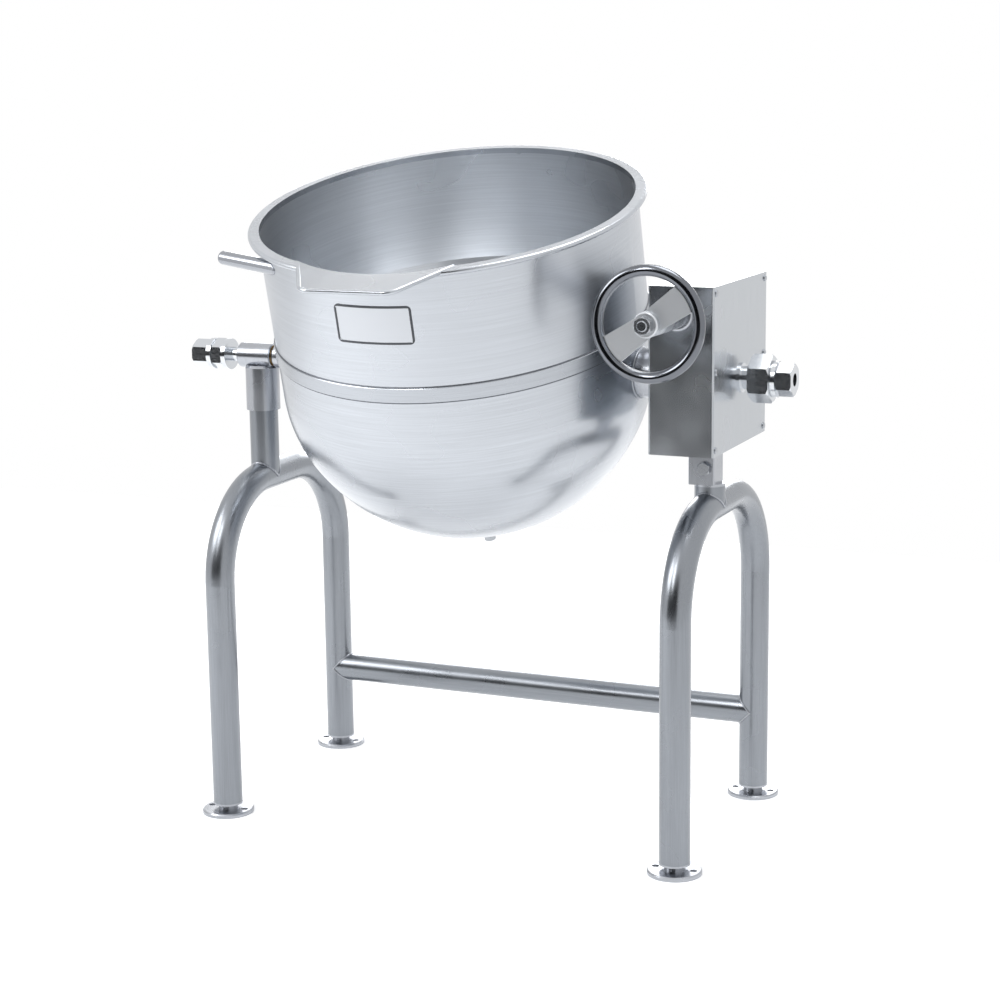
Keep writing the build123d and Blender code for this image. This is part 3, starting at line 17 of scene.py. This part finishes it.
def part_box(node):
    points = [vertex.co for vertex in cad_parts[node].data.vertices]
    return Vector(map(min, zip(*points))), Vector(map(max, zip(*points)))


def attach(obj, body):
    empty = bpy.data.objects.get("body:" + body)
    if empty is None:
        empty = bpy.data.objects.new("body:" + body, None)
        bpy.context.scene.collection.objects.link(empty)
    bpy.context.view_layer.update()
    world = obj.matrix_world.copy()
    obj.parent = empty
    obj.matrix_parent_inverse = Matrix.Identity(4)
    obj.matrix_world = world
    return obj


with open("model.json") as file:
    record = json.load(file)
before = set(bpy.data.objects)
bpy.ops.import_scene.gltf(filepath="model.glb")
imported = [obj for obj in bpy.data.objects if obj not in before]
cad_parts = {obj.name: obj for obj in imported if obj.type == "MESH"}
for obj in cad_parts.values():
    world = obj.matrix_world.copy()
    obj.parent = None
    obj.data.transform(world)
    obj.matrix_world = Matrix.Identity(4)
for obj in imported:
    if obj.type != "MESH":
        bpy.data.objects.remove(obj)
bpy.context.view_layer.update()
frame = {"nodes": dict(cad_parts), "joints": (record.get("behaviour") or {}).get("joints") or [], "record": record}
nodes = frame["nodes"]
joints = {joint["name"]: joint for joint in frame["joints"]}
MM = 0.001

# %% [markdown]
# ## The kettle's own frame
# The kettle rests tipped 15 degrees forwards. Anything that goes round its wall is easiest to
# make upright at its own centre and then turned with one matrix. The tilt joint gives the
# height of the trunnion axis, and the seam band's box gives the kettle's middle.

# %% Kettle frame
REST_TILT = math.radians(15)
KETTLE_RADIUS = 300 * MM
tilt_axis = Vector(joints["kettle_tilt"]["pos_m"])
band_low, band_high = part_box("seam_band")
kettle_centre = Vector(((band_low.x + band_high.x) / 2, tilt_axis.y, tilt_axis.z))
kettle_frame = Matrix.Translation(kettle_centre) @ Matrix.Rotation(REST_TILT, 4, "X")
print("kettle centre in mm:", [round(v / MM, 1) for v in kettle_centre])

# %% [markdown]
# ## Camera
# A long lens a few metres away keeps the legs nearly parallel. The camera stands to the right
# of the front and looks down a little, so the bowl's inside, the handwheel and the gearbox's
# cover all show. Its three axes are the columns of its matrix.

# %% Camera
CAMERA_PLACE = Vector((1450.3, -3289.2, 1233.5)) * MM
CAMERA_AZIMUTH = math.radians(23.5)
CAMERA_PITCH = math.radians(11.2)
CAMERA_ROLL = math.radians(-0.7)
LENS_MM = 79.79
SENSOR_MM = 36

right = Vector((math.cos(CAMERA_AZIMUTH), math.sin(CAMERA_AZIMUTH), 0))
forward = Vector((-math.sin(CAMERA_AZIMUTH) * math.cos(CAMERA_PITCH),
                  math.cos(CAMERA_AZIMUTH) * math.cos(CAMERA_PITCH), -math.sin(CAMERA_PITCH)))
roll = Matrix.Rotation(CAMERA_ROLL, 3, -forward)
right = roll @ right
up = right.cross(forward)

bpy.ops.object.camera_add(location=CAMERA_PLACE)
camera = bpy.context.object
camera.matrix_world = Matrix.Translation(CAMERA_PLACE) @ Matrix((right, up, -forward)).transposed().to_4x4()
camera.data.lens = LENS_MM
camera.data.sensor_width = SENSOR_MM
bpy.context.scene.camera = camera
bpy.context.scene.view_settings.view_transform = "Standard"

# %% [markdown]
# ## Colours and nodes
# Artists give colours as sRGB hex codes, and Blender's sockets want linear values, so one
# function turns the first into the second. Another adds a shader node with its settings and
# its links, so that each finish below reads as a short recipe.

# %% Helpers for finishes
def linear(code):
    values = [int(code[i:i + 2], 16) / 255 for i in (1, 3, 5)]
    return [v / 12.92 if v <= 0.04045 else ((v + 0.055) / 1.055) ** 2.4 for v in values] + [1.0]


def add_node(tree, kind, settings=(), links=()):
    """A new node: settings go to its sockets or properties, and links join its inputs to outputs."""
    node = tree.nodes.new(kind)
    for name, value in dict(settings).items():
        if isinstance(name, int) or name in node.inputs:
            node.inputs[name].default_value = value
        else:
            setattr(node, name, value)
    for name, output in dict(links).items():
        tree.links.new(output, node.inputs[name])
    return node


def new_material(name):
    material = bpy.data.materials.new(name)
    material.use_nodes = True
    material.node_tree.nodes.clear()
    return material, material.node_tree


# %% [markdown]
# ## Brushed stainless steel
# Grade 304 stainless sheet is rubbed with an abrasive belt, which leaves fine parallel
# scratches. They catch the light in lines, and blur what the metal reflects more across the
# lines than along them. The scratches are noise that is stretched along the belt's direction:
# slow along it, fast across it. A second, broad noise gives the cloudy patches that handling
# and cleaning leave. Real scratches are about 0.05 mm apart, too fine to show, so they are
# drawn a millimetre or two apart.

# %% Brushed finish
SCRATCH_LENGTH = 60        # a scratch's length, in widths
SCRATCH_DEPTH = 0.04 * MM


def brushed_steel(name, colour, roughness, along, line_mm=1.6, cloud_mm=90, turn=Matrix.Identity(4),
                  bump=0.08, clouding=0.12, inside=None, wall_radius=0):
    """Stainless steel with scratches that run along the given axes of a turned frame.

    A round shell may be painted a lighter tint inside, as painted light: there it is nearer to its axis than
    wall_radius.
    """
    material, tree = new_material(name)
    place = add_node(tree, "ShaderNodeTexCoord").outputs["Object"]
    turn_back = turn.inverted()
    turned = add_node(tree, "ShaderNodeMapping", {
        "vector_type": "POINT", "Rotation": turn_back.to_euler(),
        "Location": turn_back.translation}, {"Vector": place}).outputs["Vector"]
    across = 1 / (line_mm * MM)
    slow = across / SCRATCH_LENGTH
    stretch = [slow if axis in along else across for axis in "XYZ"]
    lines = add_node(tree, "ShaderNodeMapping", {"Scale": stretch}, {"Vector": turned}).outputs["Vector"]
    scratches = add_node(tree, "ShaderNodeTexNoise", {"Scale": 1.0, "Detail": 3.0, "Roughness": 0.6},
                         {"Vector": lines}).outputs["Fac"]
    clouds = add_node(tree, "ShaderNodeTexNoise", {
        "Scale": 1 / (cloud_mm * MM), "Detail": 2.0, "Roughness": 0.5}, {"Vector": turned}).outputs["Fac"]
    tint = add_node(tree, "ShaderNodeMixRGB", {
        "Color1": [v * (1 - clouding) for v in linear(colour)[:3]] + [1], "Color2": linear(colour)},
        {"Fac": clouds}).outputs["Color"]
    # The inside tint is painted light: a lighter colour on the shell's inner face than on its outer face.
    if inside:
        flat = add_node(tree, "ShaderNodeVectorMath", {
            "operation": "MULTIPLY", 1: (1, 1, 0)}, {0: turned}).outputs[0]
        distance = add_node(tree, "ShaderNodeVectorMath", {"operation": "LENGTH"}, {0: flat}).outputs["Value"]
        outer_face = add_node(tree, "ShaderNodeMath", {
            "operation": "GREATER_THAN", 1: wall_radius}, {0: distance}).outputs[0]
        tint = add_node(tree, "ShaderNodeMixRGB", {"Color1": linear(inside)},
                        {"Fac": outer_face, "Color2": tint}).outputs["Color"]
    streaks = add_node(tree, "ShaderNodeMapRange", {
        "From Min": 0.3, "From Max": 0.7, "To Min": 1 - clouding, "To Max": 1.0},
        {"Value": scratches}).outputs["Result"]
    shade = add_node(tree, "ShaderNodeMixRGB", {"blend_type": "MULTIPLY", "Fac": 1.0},
                     {"Color1": tint, "Color2": streaks}).outputs["Color"]
    blur = add_node(tree, "ShaderNodeMapRange", {
        "From Min": 0.25, "From Max": 0.75, "To Min": roughness - 0.05, "To Max": roughness + 0.08},
        {"Value": clouds}).outputs["Result"]
    relief = add_node(tree, "ShaderNodeBump", {"Strength": bump, "Distance": SCRATCH_DEPTH},
                      {"Height": scratches}).outputs["Normal"]
    metal = add_node(tree, "ShaderNodeBsdfPrincipled", {"Metallic": 1.0},
                     {"Base Color": shade, "Roughness": blur, "Normal": relief})
    add_node(tree, "ShaderNodeOutputMaterial", {}, {"Surface": metal.outputs["BSDF"]})
    return material


WALL_MIDDLE = 298.5 * MM   # radius between the inner and outer faces of the bowl's upper wall
brushed_up = brushed_steel("brushed_tube_stainless", "#979BA1", 0.28, "Z", line_mm=1.2)
brushed_across = brushed_steel("brushed_cross_tube_stainless", "#979BA1", 0.28, "X", line_mm=1.2)
kettle_skin = brushed_steel("kettle_sheet_stainless", "#C6CAD0", 0.25, "XY", turn=kettle_frame,
                            line_mm=2.4, cloud_mm=140, bump=0.04)
# The bowl's inside gets a lighter tint, a painted light on its inner face.
bowl_skin_painted_light_inside = brushed_steel("bowl_sheet_painted_light_inside", "#C6CAD0", 0.27, "XY", turn=kettle_frame, line_mm=2.6,
                          cloud_mm=160, bump=0.03, clouding=0.09, inside="#DCDFE3", wall_radius=WALL_MIDDLE)
band_skin = brushed_steel("ground_seam_stainless", "#BBBFC5", 0.24, "XY", turn=kettle_frame)
casing_skin = brushed_steel("gearbox_sheet_stainless", "#C3C7CC", 0.22, "Z", line_mm=1.0, bump=0.04)
turned_steel = brushed_steel("turned_stainless", "#B9BCC2", 0.26, "YZ", line_mm=0.8)
ground_steel = brushed_steel("ground_shaft_steel", "#ABAFB5", 0.20, "YZ", line_mm=0.6)
print("brushed finishes:", len(bpy.data.materials))

# %% [markdown]
# ## Polished steel, bronze, seals and welds
# The handwheel and the pipe fittings are polished or plated, so they have almost no scratches
# and a low roughness. The bushes and the worm wheel are tin bronze, and the seal rings are
# PTFE. A weld is a little rougher than the sheet, and the long seams are painted dark, a painted
# shade along the seam band's edges.

# %% Other finishes
def smooth_metal(name, colour, roughness, grain_mm=3.0, depth_mm=0.01):
    """A metal with no direction: polished, plated or cast, with a faint unevenness."""
    material, tree = new_material(name)
    place = add_node(tree, "ShaderNodeTexCoord").outputs["Object"]
    grain = add_node(tree, "ShaderNodeTexNoise", {"Scale": 1 / (grain_mm * MM), "Detail": 3.0},
                     {"Vector": place}).outputs["Fac"]
    blur = add_node(tree, "ShaderNodeMapRange", {
        "From Min": 0.3, "From Max": 0.7, "To Min": roughness * 0.8, "To Max": roughness * 1.3},
        {"Value": grain}).outputs["Result"]
    bump = add_node(tree, "ShaderNodeBump", {"Strength": 0.2, "Distance": depth_mm * MM},
                    {"Height": grain}).outputs["Normal"]
    metal = add_node(tree, "ShaderNodeBsdfPrincipled", {"Base Color": linear(colour), "Metallic": 1.0},
                     {"Roughness": blur, "Normal": bump})
    add_node(tree, "ShaderNodeOutputMaterial", {}, {"Surface": metal.outputs["BSDF"]})
    return material


def seal_plastic(name, colour):
    """PTFE: soft, white and waxy, with a faint grain."""
    material, tree = new_material(name)
    place = add_node(tree, "ShaderNodeTexCoord").outputs["Object"]
    grain = add_node(tree, "ShaderNodeTexNoise", {"Scale": 1 / (0.8 * MM), "Detail": 2.0},
                     {"Vector": place}).outputs["Fac"]
    bump = add_node(tree, "ShaderNodeBump", {"Strength": 0.15, "Distance": 0.05 * MM},
                    {"Height": grain}).outputs["Normal"]
    wax = add_node(tree, "ShaderNodeBsdfPrincipled", {
        "Base Color": linear(colour), "Roughness": 0.42, "Subsurface Weight": 0.1, "IOR": 1.35},
        {"Normal": bump})
    add_node(tree, "ShaderNodeOutputMaterial", {}, {"Surface": wax.outputs["BSDF"]})
    return material


polished = smooth_metal("polished_stainless", "#9EA1A7", 0.16)
plated = smooth_metal("nickel_plated_brass", "#CFD2D6", 0.16, grain_mm=2.0)
bronze = smooth_metal("tin_bronze", "#B08A52", 0.30, grain_mm=1.2)
fastener = smooth_metal("turned_fastener_steel", "#AEB1B6", 0.26, grain_mm=1.0)
weld_skin = smooth_metal("tig_weld_stainless", "#A9ACB2", 0.30, grain_mm=1.5, depth_mm=0.05)
seam_painted_shade_skin = smooth_metal("seam_weld_painted_shade", "#6B6E74", 0.38, grain_mm=1.5, depth_mm=0.05)
seal_skin = seal_plastic("ptfe_seal", "#E9E8E3")

# %% [markdown]
# ## Two finishes on one piece
# The handwheel is one casting with two finishes: its rim is polished where hands hold it, and
# its spokes are left satin. The rim's colour is also painted dark, a painted reflection of the dark
# studio, and the spokes are painted light, a painted highlight. The distance from the worm shaft's
# axis tells them apart, read in the wheel's own coordinates, so the border turns with it. The name
# plate has the same kind of border: its middle is bare aluminium, and its edge is filled with dark enamel.

# %% Finishes with a border
wheel_low, wheel_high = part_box("handwheel")
wheel_centre = (wheel_low + wheel_high) / 2
wheel_radius = (wheel_high.z - wheel_low.z) / 2
RIM_DIAMETER = 17 * MM
BORDER_BLEND = 1.5 * MM


def handwheel_steel():
    """Cast stainless: a polished rim round satin spokes, the rim painted dark as a painted reflection and the
    spokes painted light as a painted highlight.
    """
    material, tree = new_material("cast_handwheel_stainless")
    place = add_node(tree, "ShaderNodeTexCoord").outputs["Object"]
    from_axis = add_node(tree, "ShaderNodeVectorMath", {
        "operation": "SUBTRACT", 1: (wheel_centre.x, 0, wheel_centre.z)}, {0: place}).outputs[0]
    flat = add_node(tree, "ShaderNodeVectorMath", {
        "operation": "MULTIPLY", 1: (1, 0, 1)}, {0: from_axis}).outputs[0]
    distance = add_node(tree, "ShaderNodeVectorMath", {"operation": "LENGTH"}, {0: flat}).outputs["Value"]
    edge = wheel_radius - RIM_DIAMETER
    rim = add_node(tree, "ShaderNodeMapRange", {
        "From Min": edge - BORDER_BLEND, "From Max": edge + BORDER_BLEND},
        {"Value": distance}).outputs["Result"]
    grain = add_node(tree, "ShaderNodeTexNoise", {"Scale": 1 / (1.4 * MM), "Detail": 3.0},
                     {"Vector": place}).outputs["Fac"]
    satin = add_node(tree, "ShaderNodeMapRange", {"To Min": 0.34, "To Max": 0.50},
                     {"Value": grain}).outputs["Result"]
    blur = add_node(tree, "ShaderNodeMix", {"data_type": "FLOAT", "B": 0.17},
                    {"Factor": rim, "A": satin}).outputs["Result"]
    # The tint paints the rim dark, a painted reflection, and the spokes light, a painted highlight.
    tint = add_node(tree, "ShaderNodeMixRGB", {"Color1": linear("#D8DBDF"), "Color2": linear("#74777D")},
                    {"Fac": rim}).outputs["Color"]
    relief = add_node(tree, "ShaderNodeBump", {"Strength": 0.1, "Distance": 0.05 * MM},
                      {"Height": grain}).outputs["Normal"]
    metal = add_node(tree, "ShaderNodeBsdfPrincipled", {"Metallic": 1.0},
                     {"Base Color": tint, "Roughness": blur, "Normal": relief})
    add_node(tree, "ShaderNodeOutputMaterial", {}, {"Surface": metal.outputs["BSDF"]})
    return material


PLATE_SIZE = Vector((126, 60)) * MM
PLATE_HEIGHT = 186 * MM    # the plate's middle above the trunnion axis
PLATE_EDGE = 3.2 * MM


def plate_enamel():
    """Satin aluminium with a border of dark enamel; nothing is printed inside it."""
    material, tree = new_material("bordered_aluminium_plate")
    place = add_node(tree, "ShaderNodeTexCoord").outputs["Object"]
    turn_back = kettle_frame.inverted()
    own = add_node(tree, "ShaderNodeMapping", {
        "Rotation": turn_back.to_euler(), "Location": turn_back.translation},
        {"Vector": place}).outputs["Vector"]
    parts = add_node(tree, "ShaderNodeSeparateXYZ", {}, {0: own}).outputs
    across = add_node(tree, "ShaderNodeMath", {"operation": "ABSOLUTE"}, {0: parts["X"]}).outputs[0]
    lowered = add_node(tree, "ShaderNodeMath", {
        "operation": "SUBTRACT", 1: PLATE_HEIGHT}, {0: parts["Z"]}).outputs[0]
    above = add_node(tree, "ShaderNodeMath", {"operation": "ABSOLUTE"}, {0: lowered}).outputs[0]
    side = add_node(tree, "ShaderNodeMath", {
        "operation": "GREATER_THAN", 1: PLATE_SIZE.x / 2 - PLATE_EDGE}, {0: across}).outputs[0]
    end = add_node(tree, "ShaderNodeMath", {
        "operation": "GREATER_THAN", 1: PLATE_SIZE.y / 2 - PLATE_EDGE}, {0: above}).outputs[0]
    border = add_node(tree, "ShaderNodeMath", {"operation": "MAXIMUM"}, {0: side, 1: end}).outputs[0]
    bare = add_node(tree, "ShaderNodeMath", {"operation": "SUBTRACT", 0: 1.0}, {1: border}).outputs[0]
    tint = add_node(tree, "ShaderNodeMixRGB", {"Color1": linear("#C6C9CE"), "Color2": linear("#4A4D53")},
                    {"Fac": border}).outputs["Color"]
    surface = add_node(tree, "ShaderNodeBsdfPrincipled", {"Roughness": 0.36},
                       {"Base Color": tint, "Metallic": bare})
    add_node(tree, "ShaderNodeOutputMaterial", {}, {"Surface": surface.outputs["BSDF"]})
    return material


wheel_skin = handwheel_steel()
plate_skin = plate_enamel()
print("handwheel radius in mm:", round(wheel_radius / MM, 1))

# %% [markdown]
# ## Finishes on the solids
# Every node of the CAD model now gets its finish by its material slot. Only the material
# changes: the solids stay where the model puts them. Four nodes then take a finish of their
# own. The cross tube lies along X, so its scratches run that way, the bowl's inside is painted
# a lighter tint as painted light, and the seam band is ground.

# %% Finishes on the nodes
slot_finish = {
    "brushed_tube": brushed_up, "machined_stainless": turned_steel, "casing_sheet": casing_skin,
    "kettle_sheet": kettle_skin, "polished_stainless": polished, "bronze": bronze,
    "fastener_steel": fastener, "plated_fitting": plated, "seal_ptfe": seal_skin,
    "shaft_steel": ground_steel, "plate_aluminium": plate_skin}
for subpart in frame["record"]["subparts"]:
    node = nodes[subpart["node"]]
    node.data.materials.clear()
    node.data.materials.append(slot_finish[subpart["material_slot"]])
nodes["rear_cross_tube"].data.materials[0] = brushed_across
nodes["seam_band"].data.materials[0] = band_skin
nodes["inner_bowl"].data.materials[0] = bowl_skin_painted_light_inside
nodes["handwheel"].data.materials[0] = wheel_skin

# %% [markdown]
# ## Weld beads
# The stand's tubes are coped and TIG welded: each branch ends in a saddle shape on the round
# side of the tube that it meets, and a thin bead runs round that line. A bead starts as a torus
# round the branch. Each of its points then slides along the branch until the ring lies on the
# other tube. The same works for a hub or a handle on the kettle's round wall.

# %% Beads on round surfaces
TUBE_RADIUS = 24.15 * MM
BEAD_RADIUS = 2.0 * MM


def weld_bead(name, body, centre, along, ring_radius, run_point, run_axis, run_radius,
              bead_radius=BEAD_RADIUS, frame_matrix=Matrix.Identity(4)):
    """A bead round a branch that starts at centre and leaves a cylinder's surface in a direction."""
    centre, along = Vector(centre), Vector(along).normalized()
    run_point, run_axis = Vector(run_point), Vector(run_axis).normalized()
    bpy.ops.object.select_all(action="DESELECT")
    bpy.ops.mesh.primitive_torus_add(major_radius=ring_radius, minor_radius=bead_radius,
                                     major_segments=72, minor_segments=10)
    bead = bpy.context.object
    bead.name = name
    upright = Matrix.Translation(centre) @ along.to_track_quat("Z", "Y").to_matrix().to_4x4()
    bead.data.transform(upright)
    slope = along - along.dot(run_axis) * run_axis
    for vertex in bead.data.vertices:
        offset = vertex.co - centre
        radial = (offset - offset.dot(along) * along).normalized() * ring_radius
        start = centre + radial - run_point
        start = start - start.dot(run_axis) * run_axis
        inside = start.dot(slope)**2 - slope.length_squared * (start.length_squared - run_radius**2)
        slide = (math.sqrt(max(inside, 0)) - start.dot(slope)) / slope.length_squared
        vertex.co += slide * along
    bead.data.transform(frame_matrix)
    bpy.ops.object.shade_smooth()
    bead.data.materials.append(weld_skin)
    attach(bead, body)


cross_low, cross_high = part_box("rear_cross_tube")
cross_height = (cross_low.z + cross_high.z) / 2
for side in ("left", "right"):
    low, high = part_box(side + "_leg_arch")
    leg_x = (low.x + high.x) / 2
    leg_y = high.y - TUBE_RADIUS
    arch_height = high.z - TUBE_RADIUS
    weld_bead(side + "_post_weld", "stand", (leg_x, tilt_axis.y, arch_height),
              (0, 0, 1), TUBE_RADIUS, (leg_x, 0, arch_height), (0, 1, 0), TUBE_RADIUS)
    weld_bead(side + "_cross_tube_weld", "stand", (leg_x, leg_y, cross_height),
              (-leg_x, 0, 0), TUBE_RADIUS, (leg_x, leg_y, 0), (0, 0, 1), TUBE_RADIUS)

HANDLE_ROOT = math.radians(45)
HANDLE_YAW = math.radians(19)
HANDLE_HEIGHT = 240 * MM
HANDLE_RADIUS = 11 * MM
RIGHT_HUB_RADIUS = 39 * MM
LEFT_HUB_RADIUS = 20 * MM
handle_start = (-KETTLE_RADIUS * math.sin(HANDLE_ROOT), -KETTLE_RADIUS * math.cos(HANDLE_ROOT),
                HANDLE_HEIGHT)
handle_way = (-math.cos(HANDLE_YAW), math.sin(HANDLE_YAW), 0)
kettle_welds = [
    ("right_hub_weld", (0, 0, 0), (1, 0, 0), RIGHT_HUB_RADIUS, 2.5 * MM),
    ("left_hub_weld", (0, 0, 0), (-1, 0, 0), LEFT_HUB_RADIUS, BEAD_RADIUS),
    ("handle_weld", handle_start, handle_way, HANDLE_RADIUS, 1.6 * MM)]
for name, centre, along, ring_radius, bead_radius in kettle_welds:
    weld_bead(name, "kettle", centre, along, ring_radius, (0, 0, 0), (0, 0, 1),
              KETTLE_RADIUS, bead_radius, kettle_frame)
print("weld beads:", 4 + len(kettle_welds))

# %% [markdown]
# ## Seam beads
# The seam band is welded along both of its edges, all round the kettle. Those two beads are
# plain rings in the kettle's frame, fine enough that only a thin line shows. Their dark colour is
# painted shade along the band's edges.

# %% Seam beads
SEAM_EDGES = {"lower": 62 * MM, "upper": 86 * MM}
SEAM_STANDOFF = 0.3 * MM
SEAM_BEAD_RADIUS = 1.5 * MM
for edge_name, height in SEAM_EDGES.items():
    bpy.ops.object.select_all(action="DESELECT")
    bpy.ops.mesh.primitive_torus_add(major_radius=KETTLE_RADIUS + SEAM_STANDOFF,
                                     minor_radius=SEAM_BEAD_RADIUS, major_segments=360,
                                     minor_segments=10, location=(0, 0, height))
    seam = bpy.context.object
    seam.name = edge_name + "_seam_weld"
    bpy.ops.object.transform_apply(location=True)
    seam.data.transform(kettle_frame)
    bpy.ops.object.shade_smooth()
    # The bead's dark colour is painted shade along the seam band's edge.
    seam.data.materials.append(seam_painted_shade_skin)
    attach(seam, "kettle")
print("seam beads:", len(SEAM_EDGES))

# %% [markdown]
# ## Floor and background
# A white sheet lies under the kettle and runs back out of sight. The white comes from the
# floor's own colour and from the world as the camera and the reflections see it, not from
# strong lamps. Light Path tells the shader which kind of ray is looking.

# %% Stage
FLOOR_SIZE = 5.0
FLOOR_FRONT = -2.9
FLOOR_GLOW = 0.45
AMBIENT_LIGHT = 0.45
bpy.ops.mesh.primitive_plane_add(size=FLOOR_SIZE, location=(0, FLOOR_FRONT + FLOOR_SIZE / 2, 0))
floor = bpy.context.object
floor.name = "floor"
paper, tree = new_material("white_paper")
rays = add_node(tree, "ShaderNodeLightPath").outputs
seen = add_node(tree, "ShaderNodeMath", {"operation": "MAXIMUM"},
                {0: rays["Is Camera Ray"], 1: rays["Is Glossy Ray"]}).outputs[0]
glow = add_node(tree, "ShaderNodeMath", {"operation": "MULTIPLY", 1: FLOOR_GLOW}, {0: seen}).outputs[0]
sheet = add_node(tree, "ShaderNodeBsdfPrincipled", {
    "Base Color": linear("#F4F5F6"), "Roughness": 0.9, "Emission Color": (1, 1, 1, 1)},
    {"Emission Strength": glow})
add_node(tree, "ShaderNodeOutputMaterial", {}, {"Surface": sheet.outputs["BSDF"]})
floor.data.materials.append(paper)

world = bpy.data.worlds.new("studio")
bpy.context.scene.world = world
world.use_nodes = True
tree = world.node_tree
tree.nodes.clear()
rays = add_node(tree, "ShaderNodeLightPath").outputs
seen = add_node(tree, "ShaderNodeMath", {"operation": "MAXIMUM"},
                {0: rays["Is Camera Ray"], 1: rays["Is Glossy Ray"]}).outputs[0]
seen = add_node(tree, "ShaderNodeMath", {"operation": "MAXIMUM"},
                {0: seen, 1: rays["Is Transmission Ray"]}).outputs[0]
level = add_node(tree, "ShaderNodeMapRange", {"To Min": AMBIENT_LIGHT, "To Max": 1.0},
                 {"Value": seen}).outputs["Result"]
sky = add_node(tree, "ShaderNodeBackground", {"Color": (1, 1, 1, 1)}, {"Strength": level})
add_node(tree, "ShaderNodeOutputWorld", {}, {"Surface": sky.outputs["Background"]})

# %% [markdown]
# ## Dark card and lamps
# Polished metal shows what stands round it. In front of the kettle the studio is dark, so one
# dark card stands behind the camera, seen only in reflections. Four soft lamps then give the
# light: a broad one from the left, one above, one behind for the rear of the kettle, and a
# narrow one high in front.

# %% Card and lamps
LAMP_AIM = Vector((0, 0, 0.7))


def dark_card(name, width, height, place, look_at):
    """An unlit card that only reflections see."""
    bpy.ops.mesh.primitive_plane_add(size=1)
    card = bpy.context.object
    card.name = name
    card.scale = (width, height, 1)
    card.location = place
    card.rotation_euler = (Vector(look_at) - Vector(place)).to_track_quat("Z", "Y").to_euler()
    material, tree = new_material(name + "_felt")
    felt = add_node(tree, "ShaderNodeBsdfDiffuse", {"Color": linear("#1A1C20")})
    add_node(tree, "ShaderNodeOutputMaterial", {}, {"Surface": felt.outputs["BSDF"]})
    card.data.materials.append(material)
    card.visible_camera = False
    card.visible_shadow = False
    card.visible_diffuse = False
    card.visible_transmission = False


dark_card("card_front", 7.0, 4.6, (-0.8, -4.6, 1.4), (-0.8, 0, 1.4))


def soft_lamp(name, place, width, height, power):
    bpy.ops.object.light_add(type="AREA", location=place)
    lamp = bpy.context.object
    lamp.name = name
    lamp.data.shape = "RECTANGLE"
    lamp.data.size = width
    lamp.data.size_y = height
    lamp.data.energy = power
    lamp.rotation_euler = (LAMP_AIM - Vector(place)).to_track_quat("-Z", "Y").to_euler()
    return lamp


soft_lamp("lamp_left", (-2.4, -1.8, 2.4), 1.6, 1.6, 45)
soft_lamp("lamp_top", (0.5, 0.3, 3.2), 1.8, 1.2, 30)
soft_lamp("lamp_back", (-1.0, 3.4, 1.7), 2.6, 1.2, 45).visible_camera = False
soft_lamp("lamp_front", (-0.9, -3.0, 2.9), 0.5, 1.6, 30)
